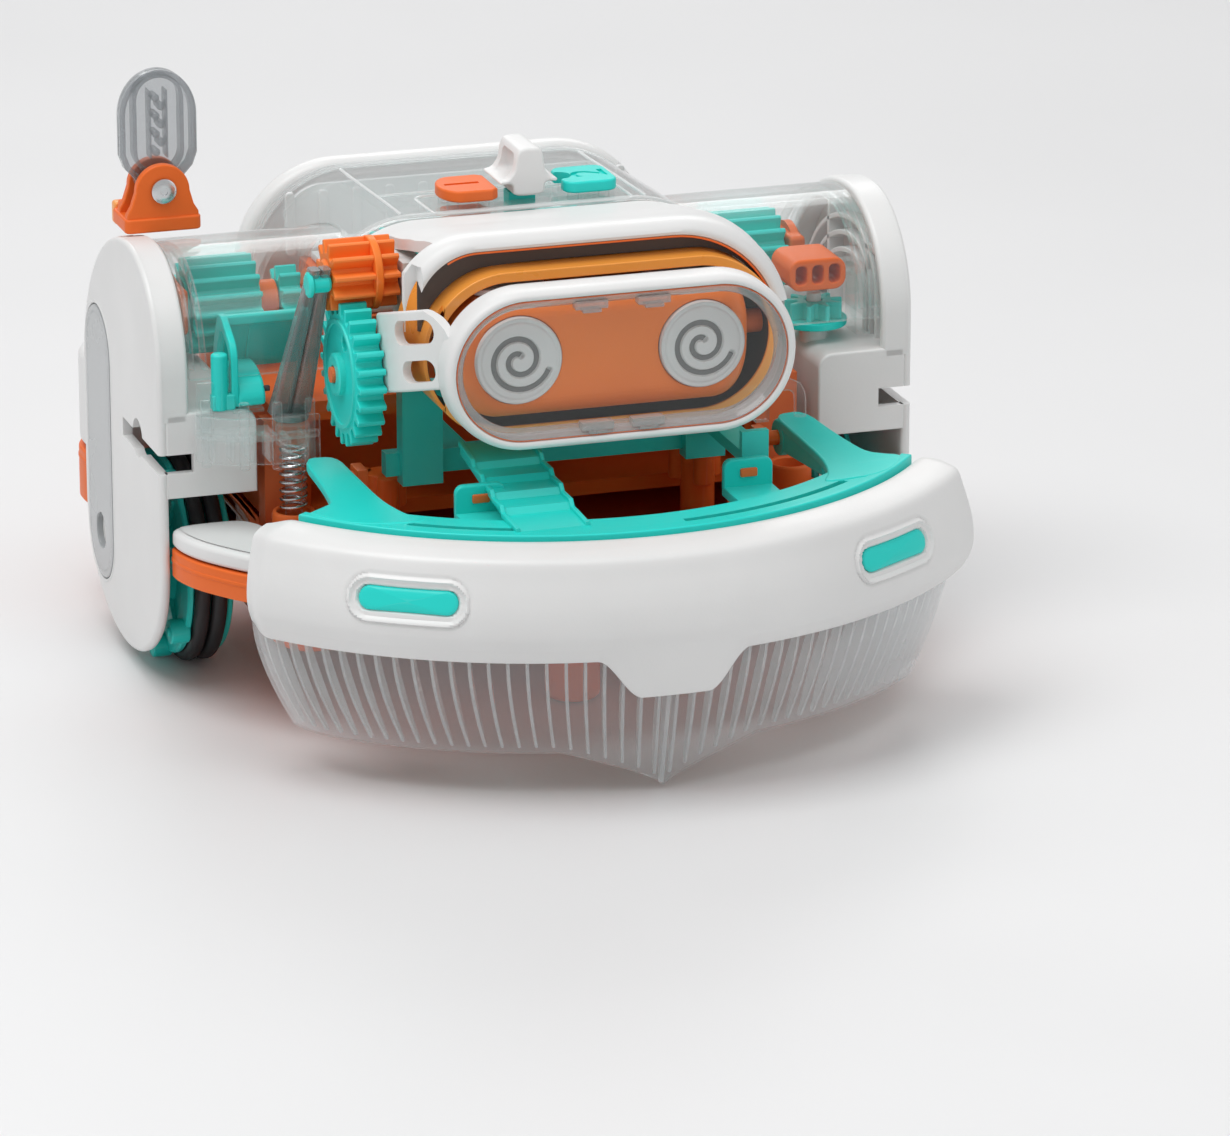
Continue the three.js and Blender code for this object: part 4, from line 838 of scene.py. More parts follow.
def fender_caps():
    plan = [(72.4, -33), (96.8, -33), (96.8, -41), (93.6, -50), (85.6, -61.6), (74.4, -73.4), (72.4, -71)]
    plan = softened_corners(plan, 3, 0.22)
    lower = slab("z", plan, TRAY_TOP + 0.3, 46, edge=1.5, steps=5)
    crown = slab("z", shifted(plan, 2.4), 45, 46.4, edge=0.6, steps=3)
    place_pair("fender_{}", joined(lower, crown), "white", "fender_cap_{}")


def rear_cover():
    half = [(0, 44.6), (96, 44.6), (97.6, 50), (97.6, 58), (94.6, 64.6), (88, 67.6), (0, 67.6)]
    plan = softened_corners(mirrored_plan(half), 3, 0.2)
    outer = slab("z", plan, TRAY_TOP + 0.3, 68, edge=2.6, steps=6)
    hollow = slab("z", shifted(plan, 2.3), TRAY_TOP - 2, 65.6, edge=0.6)
    mouth = block(-52.6, 52.6, 38, 57.6, 60, 72, 1.5)
    shell = boolean(boolean(outer, hollow), mouth)
    grooves = [block(-44 + 8 * i - 0.6, -44 + 8 * i + 0.6, 67.1, 68.0, 47, 61, 0.2) for i in range(12)]
    place("rear_shell", joined(shell, *grooves), "white", "chassis", ["rear_cover"])


# ---------------------------------------------------------------- body shell and window
def gear_clearance(mesh):
    """Cuts the corner of the shell away beside the visor's gears, and the leg beside the visor's arm."""
    gears = block(-80, -40.4, -77, -37.6, 50, 150, 0)
    arm_back = block(-80, -48.3, -80, -76, 50, 121, 0)
    arm_front = block(-80, -45.2, -95, -79.2, 50, 122.2, 0)
    for tool in (gears, arm_back, arm_front):
        mesh = boolean(mesh, tool)
    return mesh


def raised_underside(mesh):
    """The hood's lower edge climbs towards its front rim."""
    below = [(-95, 60), (-40, 60), (-45, 82), (-54, 93), (-66, 101), (-76, 104.6), (-88, 106.4), (-95, 107)]
    return boolean(mesh, slab("x", below, -80, 80, edge=0.05, steps=1))


def pod_clearance(mesh):
    """Cuts away the part of the body that the pods' clear covers fill."""
    space = slab("x", plate_outline(0.8), 43.4, 80, edge=0.1, steps=1)
    return boolean(boolean(mesh, space), mirrored(space))


def body_hood():
    front = [(-82.4, 0.1), (-83.6, 0.6), (-84.4, 1.4), (-84.7, 2.2), (-84.4, 3.0), (-83.4, 3.5),
             (-81.8, 3.4)]
    inner = [(-77, 2.8), (-66, 2.4), (-56, 2.4), (-46, 2.4), (-35, 2.4), (-25, 2.4)]
    back = [(-24.2, 1.8), (-24.2, 0.6), (-24.6, 0.1)]
    outer = [(y, 0.0) for y in (-27, -30, -34, -38, -42, -46, -50, -54, -58, -62, -66, -70, -74, -77, -80)]
    mesh = body_shell(front + inner + back + outer, 79)
    mesh = pod_clearance(gear_clearance(raised_underside(mesh)))
    place("hood", mesh, "white", "chassis", ["body_hood"], 40)


def hood_recess():
    """Dark sheet between the hood's rolled rim and the amber housing, painted shade for the shadowed gap,
    with a thin coloured seam.
    """
    depth, thick = -80.6, 1.2
    outer = body_outline(50.8, 128.7, 30, 79, 3.0, left=19)
    inner = []
    for x, z in outer:
        flat = max(-HOUSING_FLAT, min(HOUSING_FLAT, x))
        away = Vector((x - flat, z - FACE_Z)).normalized()
        inner.append((flat + away.x * 21.2, FACE_Z + away.y * 21.2))
    mesh = open_sweep([[(x, y, z) for x, z in line] for line, y in (
        (outer, depth), (inner, depth), (inner, depth + thick), (outer, depth + thick))])
    # The dark sheet is painted shade: the hood's shadow over the gap.
    place("hood_gap_shade", gear_clearance(raised_underside(mesh)), "dark", "chassis")
    seam = [(x, -84.3, z) for x, z in body_outline(50.0, 128.2, 30, 98, 3.4, left=18)]
    seam = [p for p in seam if p[2] > (122.4 if p[0] < 0 else 100)]
    place("hood_seam", tube(seam, 0.26), "orange", "chassis")


def face_housing():
    """Amber tunnel behind the visor, turned in at its front edge, with a dark sheet inside as painted
    shade.
    """
    def oval(radius):
        return stadium(0, FACE_Z, HOUSING_FLAT, radius, 48)
    walls = slab("y", oval(20.9), -88.0, -61, [oval(20.0)], 0.3, 3)
    flange = slab("y", oval(20.6), -88.0, -87.2, [oval(18.3)], 0.3, 3)
    arm_room = block(-60, -40.6, -95, -85.6, 70, 130, 0)
    front = joined(boolean(walls, arm_room), boolean(flange, arm_room))
    place("housing", front, "amber", "chassis", ["face_housing"], 40)
    # A dark sheet inside the tunnel: painted shade.
    inner_shade = slab("y", oval(19.98), -85.2, -61.4, [oval(19.75)], 0.05)
    place("housing_inner_shade", inner_shade, "dark", "chassis", [], 40)


def top_window():
    mesh = pod_clearance(body_shell(wall_path(WINDOW_FRONT, WINDOW_BACK, 1.8), 86))
    lever_slot = block(-6.5, 12.5, -12.5, -5.5, 100, 130, 1.2, 3)
    place("window", boolean(mesh, lever_slot), "clear", "chassis", ["top_window"], 40)


def window_lines():
    """Raised ribs and steps moulded into the clear window, drawn in a pale clear that paints the highlight
    lines on them.
    """
    hoops = ((-20.5, 0.55), (-18.6, 0.3), (40.2, 0.5), (42.4, 0.3))
    parts = [tube(body_at(y, 0.2, 92), width) for y, width in hoops]
    runs = [([(x, y) for y in range(-18, 41, 4)], 0.45, False) for x in (-31, 34)]
    runs += [([(x, 4.0) for x in range(-31, 35, 5)], 0.4, False),
             (rounded(-23, 30, -21.6, -0.6, 3.2), 0.4, True)]
    parts += [tube([(x, y, body_top_at(x, y) - 0.1) for x, y in run], width, 8, cyclic)
              for run, width, cyclic in runs]
    place("window_ribs", joined(*parts), "line", "chassis")


def back_shell():
    path = wall_path(46, 54, 2.6, 1.0, 1.2)
    rim = body_shell(path, 68.4)
    wall = slab("y", body_outline(53.5, 112.3, 25, 68.4, 0.0), 51.4, 53.8, edge=0.5)
    screws = [rod("y", 2.4, 53.2, 54.4, x, z, 0.4) for x, z in ((-38, 80), (38, 80), (-38, 100), (38, 100))]
    vents = [slab("y", rounded(-16, 16, z, z + 2.4, 1.1), 53.4, 54.3, edge=0.3) for z in (84, 89, 94, 99)]
    place("back_cover", joined(rim, wall, *screws, *vents), "white", "chassis", ["back_shell"], 40)


# ---------------------------------------------------------------- visor and face
def visor_frame():
    ring = swept_stadium([
        (0.0, -97.0), (0.0, -100.6), (0.18, -102.2), (0.6, -103.3), (1.2, -103.85), (1.8, -103.9),
        (2.3, -103.6), (2.5, -103.0), (2.6, -96.0), (2.4, -95.3), (1.8, -95.0), (0.8, -95.0),
        (0.25, -95.4), (0.0, -96.0),
    ])
    place("visor_ring", joined(ring, visor_arm()), "white", "visor", ["visor_frame"], 40)


def visor_arm():
    """Side arm from the gear up to the ring, with its two rounded windows."""
    outer = [(-51.2, -62), (-51.2, -79), (-49.2, -86.6), (-43.6, -95.4), (-43, -99), (-41.4, -99)]
    inner = [(-41.6, -94.4), (-46.4, -87.6), (-48.7, -78), (-48.7, -62)]
    plate = slab("z", softened_corners(outer + inner, 2, 0.22), 89.8, 110.4, edge=0.7, steps=3)
    plate.transform(Matrix(((1, 0, 0, 0), (0, 1, 0, 0), (0, -ARM_SLOPE, 1, -79 * ARM_SLOPE), (0, 0, 0, 1))))
    for length, radius, x, y, z in ((15.4, 3.05, -48.1, -86.2, 106.9), (11.8, 2.75, -47.5, -88.4, 97.5)):
        window = slab("y", stadium(0, 0, length / 2 - radius, radius), -6, 6, edge=0.1, steps=1)
        tilt = Matrix.Rotation(-ARM_SLOPE * 0.85, 4, "Y")
        turn = Matrix.Rotation(math.radians(-66.5), 4, "Z")
        window.transform(Matrix.Translation((x, y, z)) @ turn @ tilt)
        plate = boolean(plate, window)
    above = [(-88, 114.2), (-93, 112.2), (-101, 107), (-101, 125), (-88, 125)]
    return boolean(plate, slab("x", above, -60, -30, edge=0.05))


def visor_lens():
    """Clear pane with a bevelled rim, a thin orange line at the rim as painted refraction of the drum, and
    two pairs of snap clips.
    """
    pane = slab("y", stadium(0, FACE_Z, RING_FLAT, RING_R - 4.0, 48), -102.0, -100.8, edge=0.3, steps=2)
    rim = swept_stadium([
        (2.7, -103.3), (3.1, -103.5), (3.9, -102.6), (4.9, -101.0), (5.0, -99.6), (4.4, -99.2),
        (3.0, -100.2), (2.7, -101.4),
    ])
    place("visor_pane", pane, "lens", "visor", ["visor_lens"], 40)
    place("visor_pane_rim", rim, "bevel", "visor", [], 40)
    # An orange line round the rim's inner edge: painted refraction of the drum seen through the lens.
    seam = swept_stadium([(2.55, -103.2), (2.7, -103.4), (2.85, -103.2), (2.7, -103.0)])
    place("visor_painted_refraction", seam, "orange", "visor")
    clips = []
    for x, z in ((-8, 15.4), (8, 15.4), (-6.5, -15.4), (6.5, -15.4)):
        clips.append(block(x - 4.2, x + 4.2, -103.5, -100.4, FACE_Z + z - 1.1, FACE_Z + z + 1.1, 0.35))
        clips.append(block(x - 2.4, x + 2.4, -103.8, -101, FACE_Z + z - 1.9, FACE_Z + z - 1.0, 0.25))
    place("visor_clips", joined(*clips), "bevel", "visor")


def drum_half(t):
    """Half height of the drum's section at distance t from an end."""
    if t >= 11:
        return 15.5
    return 4.5 + math.sqrt(max(0.0, 121 - (11 - t) ** 2))


def face_drum():
    """Capsule-shaped drum with two eye seats in front, two on top and a journal at each end."""
    stations = [11 * (1 - math.cos(math.radians(a))) for a in range(0, 91, 6)]
    rings = []
    for t in stations + [FACE_HALF * 2 - t for t in reversed(stations)]:
        half = drum_half(min(t, FACE_HALF * 2 - t))
        section = rounded(FACE_Y - half, FACE_Y + half, FACE_Z - half, FACE_Z + half, min(6.0, half), 10)
        rings.append([(t - FACE_HALF, y, z) for y, z in section])
    body = loft(rings)
    for x in (-EYE_X, EYE_X):
        body = boolean(body, rod("y", EYE_R + 0.3, FACE_Y - 19, FACE_Y - 14.5, x, FACE_Z, 0.05, 72))
        body = boolean(body, rod("z", EYE_R + 0.3, FACE_Z + 14.5, FACE_Z + 19, x, FACE_Y, 0.05, 72))
    journals = [rod("x", 3, *ends, FACE_Y, FACE_Z) for ends in ((-44, -37), (37, 44))]
    place("drum", joined(body, *journals), "warm", "face", ["face_drum"], 30)


def spiral_point(t):
    """Point of the eye's spiral, from its inner end (0) to its outer end (1)."""
    angle = 1.2 + t * 2 * math.pi * 1.75
    radius = 1.4 + t * 6.7
    return radius * math.cos(angle), radius * math.sin(angle)


def spiral_disc():
    """Round face with a raised edge and a spiral channel, as (u, v, height) points and faces."""
    path = [spiral_point(i / 240) for i in range(241)]
    around, across = 168, 52
    points = [(0.0, 0.0, height_at(0, 0, path))]
    for j in range(1, across + 1):
        r = EYE_R * min(1.0, j / (across - 2)) - (0.25 if j == across - 2 else 0.0)
        drop = {across - 1: -0.35, across: -1.6}.get(j, 0.0)
        for i in range(around):
            angle = 2 * math.pi * i / around
            u, v = r * math.cos(angle), r * math.sin(angle)
            points.append((u, v, drop if drop else height_at(u, v, path)))
    faces = [(0, 1 + i, 1 + (i + 1) % around) for i in range(around)]
    for j in range(across - 1):
        a, b = 1 + j * around, 1 + (j + 1) * around
        faces += [(a + i, b + i, b + (i + 1) % around, a + (i + 1) % around) for i in range(around)]
    last = 1 + (across - 1) * around
    faces.append(tuple(last + i for i in reversed(range(around))))
    return points, faces


def height_at(u, v, path):
    """Height of the eye's face: the spiral channel and the fine line near its edge."""
    away = min(math.hypot(u - a, v - b) for a, b in path)
    channel = 1.1 * (1 - smooth_step(0.5, 0.95, away))
    radius = math.hypot(u, v)
    edge_line = 0.25 * (1 - smooth_step(0.15, 0.4, abs(radius - 9.9)))
    return -channel - edge_line


def spiral_ribbon():
    """The dark strip that fills the bottom of the channel: painted shade in the groove."""
    rings = []
    for i in range(121):
        t = i / 120
        u, v = spiral_point(t)
        a, b = spiral_point(min(1, t + 0.004))
        c, d = spiral_point(max(0, t - 0.004))
        along = Vector((a - c, b - d)).normalized()
        across = Vector((-along.y, along.x)) * 0.66
        rings.append([(u + across.x, v + across.y, -1.08), (u + across.x, v + across.y, -0.7),
                      (u - across.x, v - across.y, -0.7), (u - across.x, v - across.y, -1.08)])
    return rings


def eye_discs():
    points, faces = spiral_disc()
    front_y = FACE_Y - 15.5 - 1.0
    ribbon = spiral_ribbon()
    for s, name in SIDES[::-1]:
        spots = [(s * EYE_X + u, front_y - h, FACE_Z + v) for u, v, h in points]
        disc = tidy(to_mesh(spots, faces), 0.0005)
        place(f"eye_{name}_disc", disc, "disc", "face", [f"eye_{name}"], 50)
        strip = loft([[(s * EYE_X + u, front_y - h, FACE_Z + v) for u, v, h in ring] for ring in ribbon])
        # The dark spiral strip is painted shade in the channel.
        place(f"eye_{name}_spiral", strip, "groove", "face")


def top_discs():
    for s, name in SIDES[::-1]:
        disc = rod("z", EYE_R, FACE_Z + 14.8, FACE_Z + 16.5, s * EYE_X, FACE_Y, 0.35, 96)
        slot = slab("z", stadium(s * EYE_X, FACE_Y, 5, 1.4), FACE_Z + 15.6, FACE_Z + 18, edge=0.1, steps=1)
        place(f"top_eye_{name}_disc", boolean(disc, slot), "disc", "face", [f"top_eye_{name}"])


# ---------------------------------------------------------------- gears
def mesh_phase():
    """Angle from the visor gear's axle to the double gear's axle."""
    return math.atan2(DOUBLE_Z - VISOR_Z, DOUBLE_Y - VISOR_Y)


def visor_gear():
    hole = stadium(VISOR_Y - 4, VISOR_Z + 9, 0.1, 2.1)
    wheel = slab("x", gear_outline(24, VISOR_Y, VISOR_Z, mesh_phase()), -58.5, -51.5,
                 [hole, circle(VISOR_Y, VISOR_Z, 2.3)], 0.3)
    hub = [(2.3, -60.2), (4.8, -60.2), (5.4, -59.8), (5.4, -58.2), (2.3, -58.2)]
    hub = turned("x", hub, VISOR_Y, VISOR_Z)
    rim = turned("x", [(12.6, -59.0), (13.6, -59.0), (13.8, -58.2), (12.4, -58.2)], VISOR_Y, VISOR_Z, 96)
    place("visor_wheel", joined(wheel, hub, rim), "teal", "visor", ["visor_gear"])


def double_gear():
    phase = mesh_phase() + math.pi + math.pi / 11
    outline = gear_outline(11, DOUBLE_Y, DOUBLE_Z, phase)
    cap = [(2.0, -60.9), (3.6, -60.9), (4.2, -60.2), (4.2, -59.8), (2.0, -59.8)]
    parts = [
        slab("x", outline, -60, -49.4, edge=0.3), slab("x", outline, -47.6, -43, edge=0.3),
        rod("x", 9.2, -49.5, -47.5, DOUBLE_Y, DOUBLE_Z, 0.4, 72),
        rod("x", 2.4, -43.1, -39, DOUBLE_Y, DOUBLE_Z),
        turned("x", cap, DOUBLE_Y, DOUBLE_Z),
    ]
    place("double_wheel", joined(*parts), "warm", "double_gear", ["double_gear"])


def pod_gears():
    wheel = slab("x", gear_outline(16, POD_Y, POD_Z), 62, 80, [circle(POD_Y, POD_Z, 3)], 0.35)
    collars = [turned("x", [(3, x), (7.4, x), (7.4, x + 0.8), (3, x + 0.8)], POD_Y, POD_Z, 72)
               for x in (61.3, 79.9)]
    gear_mesh = joined(wheel, *collars)
    shaft = joined(rod("x", 2.9, 49, 83, POD_Y, POD_Z), rod("x", 5, 56, 61.6, POD_Y, POD_Z))
    for s, name in SIDES:
        body = f"pod_{name}"
        place(f"pod_{name}_wheel", sided(gear_mesh, s), "teal", body, [f"pod_gear_{name}"])
        place(f"pod_{name}_axle", sided(shaft, s), "orange", body, [f"pod_shaft_{name}"])
    small = slab("x", gear_outline(10, POD_Y, POD_Z, 0.2), -55.6, -50, [circle(POD_Y, POD_Z, 3)], 0.3)
    place("pod_left_pinion", small, "teal", "pod_left", ["small_gear_left"])


# ---------------------------------------------------------------- pods
def pod_tubes():
    """Clear covers over the pods' gears, with a lip at each end and one inside."""
    parts = [slab("x", arch_above(1.2, 84, 78) + arch_above(3.0, 84, 78)[::-1], 44, 91.4, edge=0.35)]
    for low, high, deep in ((44, 45.8, 4.6), (86.6, 88.0, 4.2), (89.8, 91.4, 4.6)):
        lip = arch_above(1.9, 84.6, 79) + arch_above(deep, 84.6, 79)[::-1]
        parts.append(slab("x", lip, low, high, edge=0.35))
    place_pair("pod_tube_{}_shell", joined(*parts), "clear", "pod_tube_{}", 40)


def hopper():
    """Teal bucket: rim bar, curved back and floor, slanted left cheek, and the hinge post beside it."""
    sheet = softened_corners([
        (-28.4, 97), (-25.6, 97.6), (-21.4, 90), (-20, 84), (-22, 79), (-27, 76.5), (-37.4, 76.5),
        (-38.4, 78.4), (-28, 78.6), (-23.8, 81), (-22.4, 84.6), (-23.6, 89),
    ], 2, 0.2)
    cheek = softened_corners([(-28.6, 98), (-25, 98), (-20.4, 88), (-21.6, 79), (-27, 76.5), (-37.6, 76.5),
                              (-38.6, 80), (-38.2, 92.4)], 2, 0.15)
    opening = [(-28, 95), (-24.6, 89), (-24, 84), (-26.4, 81), (-35, 80.4), (-35.6, 90.8)]
    belly = softened_corners([(-38.4, 76.6), (-38.8, 79.6), (-36.4, 83.2), (-31, 85.4), (-24, 85.6),
                              (-21, 83), (-21, 78), (-24, 76.6)], 2, 0.2)
    back = softened_corners([(-28.2, 96.4), (-26.4, 97), (-21.4, 90), (-20, 84.6), (-21.4, 82),
                             (-23.0, 84.4), (-24.4, 89)], 2, 0.2)
    parts = [
        slab("x", sheet, -80, -73.4, edge=0.4),
        slab("x", cheek, -81.4, -79.6, [softened_corners(opening, 2, 0.15)], 0.4, 3),
        block(-80.6, -57.4, -28.8, -26.4, 95.2, 98.0, 0.7, 4),
        slab("x", belly, -79.8, -72.6, edge=0.9, steps=3),
        rod("z", 2.1, 76.4, 91, -84.2, -37.0, 0.6),
        block(-86.4, -80.4, -38.6, -35.4, 76.4, 80.6, 0.6, 3),
        slab("x", back, -73.6, -58.6, edge=0.4),
    ]
    place("hopper_bucket", joined(*parts), "teal", "chassis", ["hopper"])
    # A dark block in the hopper's slot: painted shade.
    place("hopper_slot_shade", block(-78.6, -71.2, -37.4, -36.2, 80.2, 81.6, 0.3), "dark", "chassis")
    place("hopper_strip", block(-81, -73, -38.2, -35.2, 75.2, 76.3, 0.3), "clear", "chassis")


def pod_lever():
    """Two tapered smoked blades side by side, rising from a disc to the knob."""
    blades = []
    for side in (-1, 1):
        rings = []
        for i in range(15):
            t = i / 14
            half = 2.55 - 1.3 * t
            x = POST_X - 0.4 + (KNOB_X - POST_X + 0.4) * t + side * (half + 0.12)
            y = POST_Y + 1.8 + (KNOB_Y - POST_Y - 1.8) * t
            z = 74.4 + (KNOB_Z + 4 - 74.4) * t
            deep = 2.6 - 0.4 * t
            rings.append([(x + half * px, y + deep * py, z) for px, py in rounded(-1, 1, -1, 1, 0.45, 4)])
        blades.append(loft(rings))
    disc = rod("z", 4.6, 72.4, 74.6, POST_X, POST_Y + 2, 0.4)
    ring = turned("z", [(4.0, 74.5), (4.6, 74.5), (4.6, 75.0), (4.0, 75.0)], POST_X, POST_Y + 2)
    place("lever_blade", joined(*blades, disc, ring), "shade", "pod_lever", ["pod_lever"], 40)


def lever_knob():
    profile = [(-3.4, 0.01), (-3.4, 2.6), (-3.0, 3.2), (-2.3, 3.2), (-1.9, 2.6), (-1.6, 2.2), (2.0, 2.2),
               (2.6, 1.8), (2.6, 0.01)]
    mesh = turned("x", [(r, KNOB_X + along) for along, r in profile], KNOB_Y, KNOB_Z)
    place("lever_pin", mesh, "teal", "chassis", ["lever_knob"])


def spring_post():
    profile = [(0.01, 40.6), (2.2, 40.6), (2.2, 65.8), (3.2, 66.2), (4.2, 66.6), (4.4, 67.2), (4.4, 71.2),
               (4.0, 72), (0.01, 72)]
    place("post_rod", turned("z", profile, POST_X, POST_Y), "clear", "chassis", ["spring_post"], 40)
    place("post_coil", coil(POST_X, POST_Y, 50, 65.4, 3.2, 0.45, 8), "steel", "chassis", ["post_spring"])
    place("tray_coil", coil(8, -74, 31.4, 44, 3.4, 0.5, 6), "steel", "chassis", ["tray_spring"])


def bracket_left():
    """Clear fan-shaped bracket under the left pod, with upright ribs."""
    shelf = [(-91, -37.2), (-91, -39), (-84, -45), (-72, -47.4), (-61, -46.6), (-61, -44.2), (-72, -44.2),
             (-72, -37.2)]
    lip = [(-91, -38), (-91, -39.4), (-84, -45.2), (-72, -47.6), (-61, -46.8), (-61, -45.6), (-72, -46.2),
           (-83.4, -44)]
    parts = [slab("z", shelf, 70, 71.6, edge=0.3), slab("z", lip, 64, 76, edge=0.35)]
    for i in range(6):
        x = -87 + 4.6 * i
        front = -41.5 - 1.25 * i if i < 4 else -45.4
        parts.append(block(x - 0.5, x + 0.5, front, -37.4, 64, 70.1, 0.25))
    for x, y in ((-88.4, -39.2), (-80, -44.6), (-72, -46.4), (-63.4, -45.9)):
        parts.append(rod("z", 1.3, 62.5, 80, x, y, 0.4, 24))
    parts.append(block(-90.4, -86, -38.4, -36.9, 71.6, 84, 0.3))
    place("bracket_left_clear", joined(*parts), "clear", "chassis", ["pod_bracket_left"], 40)


def bracket_right():
    hook = [(52, -58.8, 76), (55.5, -58.8, 76.2), (58.6, -58.8, 76), (60.6, -58.8, 75), (61.4, -58.8, 73.4),
            (61.6, -58.8, 71), (61.6, -58.8, 67.4)]
    parts = [
        tube(hook, 1.6, 16), block(49, 53, -60.6, -57, 67, 92, 0.5),
        block(49, 51.4, -58, -20, 73.4, 77.4, 0.5), block(44.5, 49.2, -60.2, -57.6, 80, 84, 0.4),
        block(44.5, 49.2, -60.2, -57.6, 70, 72, 0.4),
    ]
    parts += [rod("x", 3.4, 46.4, 49.2, -58.4, z, 0.4) for z in (88, 97, 105)]
    parts.append(block(46.6, 49.2, -60.6, -56.4, 84, 108, 0.5))
    place("bracket_right_clear", joined(*parts), "clear", "chassis", ["pod_bracket_right"], 40)


def turntable():
    spot = (TABLE_X, TABLE_Y)
    disc = boolean(rod("z", 8.6, 79.6, 81.6, *spot, 0.4, 72), rod("z", 2.2, 78, 88, *spot, 0.05))
    teeth = slab("z", gear_outline(9, *spot), 81.5, 86, [circle(*spot, 2.2)], 0.35)
    place("turntable_wheel", joined(disc, teeth), "teal", "turntable", ["turntable"])


# ---------------------------------------------------------------- antenna
def antenna_outline():
    foot = [(-97.8, 132), (-96.6, 128.6), (-94.2, 126), (-93.2, 123), (-93, 119.4), (-82.6, 119.4),
            (-82.4, 123), (-81.4, 126), (-79, 128.6), (-77.8, 132)]
    return arc(ANTENNA_X, 142, 10, 11.8, 0, 180, 36) + foot


def antenna_paddle():
    """Smoked paddle with a raised outer rim, an oval, a zigzag of studs and two fine lines."""
    oval, inner = (swapped(stadium(139.6, ANTENNA_X, 6.6, r, 24)) for r in (6.6, 5.6))
    parts = [
        slab("y", antenna_outline(), 5.3, 8.3, [circle(ANTENNA_X, ANTENNA_Z, 2.1)], 0.9, 4),
        slab("y", oval, 4.7, 8.9, [inner], 0.4, 3),
        slab("y", antenna_outline(), 4.9, 8.7, [shifted(antenna_outline(), 1.5)], 0.5, 3),
    ]
    parts += [rod("y", 1.0, 4.4, 9.2, ANTENNA_X + (0.7 if i % 2 else -0.7), 132.6 + i * 2.35, 0.4, 20)
              for i in range(7)]
    parts += [block(x, x + 0.5, 4.6, 9.0, 131, 148.6, 0.2) for x in (-90.2, -85.9)]
    place("paddle", joined(*parts), "smoke", "antenna", ["antenna_paddle"], 40)


def antenna_bracket():
    ear = [(-97.4, 113.4), (-97.2, 117.4), (-96, 119.4), *arc(ANTENNA_X, 123, 7, 7, 180, 0, 30),
           (-79.8, 119.4), (-78.6, 117.4), (-78.4, 113.4)]
    parts = [slab("y", ear, low, low + 2.6, [circle(ANTENNA_X, ANTENNA_Z, 2.1)], 0.4, 3)
             for low in (1.6, 9.4)]
    parts.append(slab("z", rounded(-97.8, -78, 1, 15.4, 1.6), 112.7, 116.4, edge=0.6, steps=3))
    parts.append(block(-96.4, -79.2, 11.8, 14.8, 116.2, 118.6, 0.6, 3))
    place("antenna_fork", joined(*parts), "orange", "chassis", ["antenna_bracket"])
    place("antenna_seat", block(-97.2, -86.4, 14.8, 18.6, 111.6, 117.6, 0.9, 3), "amber", "chassis")


def antenna_pin():
    profile = [(0.01, 0.5), (0.9, 0.5), (1.0, 0.15), (2.6, 0.1), (3.2, 0.4), (3.2, 1.3), (2.0, 1.4),
               (2.0, 12.8), (0.01, 12.8)]
    place("antenna_screw", turned("y", profile, ANTENNA_X, ANTENNA_Z), "steel", "chassis", ["antenna_pin"])


# ---------------------------------------------------------------- mode selector
def digit(text, x, top):
    """A numeral from the built-in font as a mesh, its top towards the robot's left."""
    curve = bpy.data.curves.new("digit", "FONT")
    curve.body = text
    curve.size = 13
    curve.align_x = "CENTER"
    curve.align_y = "CENTER"
    curve.extrude = 0.5
    curve.offset = 0.12
    mesh = curve_mesh(curve, [], False)
    mesh.transform(Matrix.Translation((x, DIGIT_Y, top)) @ Matrix.Rotation(math.pi / 2, 4, "Z"))
    return tidy(mesh)


def mode_plates():
    """Orange and teal plates on clear feet, with a numeral sunk into each."""
    one = arc(-14.4, DIGIT_Y, 5.2, 8, 90, 270, 18) + [(-7.2, -19), (-5.4, -17.4), (-5.4, -4.6), (-7.2, -3)]
    two = rounded(12.4, 26.6, -19, -3, 3.4, 12)
    for text, look, outline, nudge in (("1", "orange", one, 0.0), ("2", "teal", two, 1.6)):
        x0, x1 = min(p[0] for p in outline), max(p[0] for p in outline)
        plate = slab("z", outline, 119.2, 122.2, edge=0.6, steps=3)
        if text == "2":
            plate = boolean(plate, rod("z", 3.4, 118, 123, 12.6, DIGIT_Y, 0.1))
        plate = boolean(plate, digit(text, (x0 + x1) / 2 + nudge, 122.1))
        feet = [rod("z", 1.5, 116.6, 119.4, x, y, 0.3, 24) for x in (x0 + 3, x1 - 3) for y in (-15, -7)]
        node_name = {"1": "mode_plate_one", "2": "mode_plate_two"}[text]
        place(f"plate_{text}", plate, look, "chassis", [node_name])
        place(f"plate_{text}_feet", joined(*feet), "clear", "chassis")
    place("plate_1_block", block(-17.4, -6.6, -16, -6, 112.6, 115.4, 0.6), "orange", "chassis")


def mode_lever():
    """White hat-shaped slider with flared brims and a scooped finger hold on its left."""
    hat = softened_corners([
        (-1.2, 119.3), (7.2, 119.3), (7.2, 122.6), (10.6, 122.6), (10.6, 123.3), (8.6, 123.8), (7.2, 126),
        (6.8, 130), (5.8, 131.7), (0.8, 131.7), (-0.2, 130), (-0.8, 126), (-2.4, 123.8), (-4.6, 123.3),
        (-4.6, 122.6), (-1.2, 122.6),
    ], 2, 0.2)
    body = slab("y", hat, -17.5, -2, edge=0.7, steps=4)
    scoop = block(-8, 2.2, -15.2, -5.2, 123.6, 130.0, 1.6, 4)
    place("lever_hat", boolean(body, scoop), "white", "mode_selector", ["mode_lever"], 40)


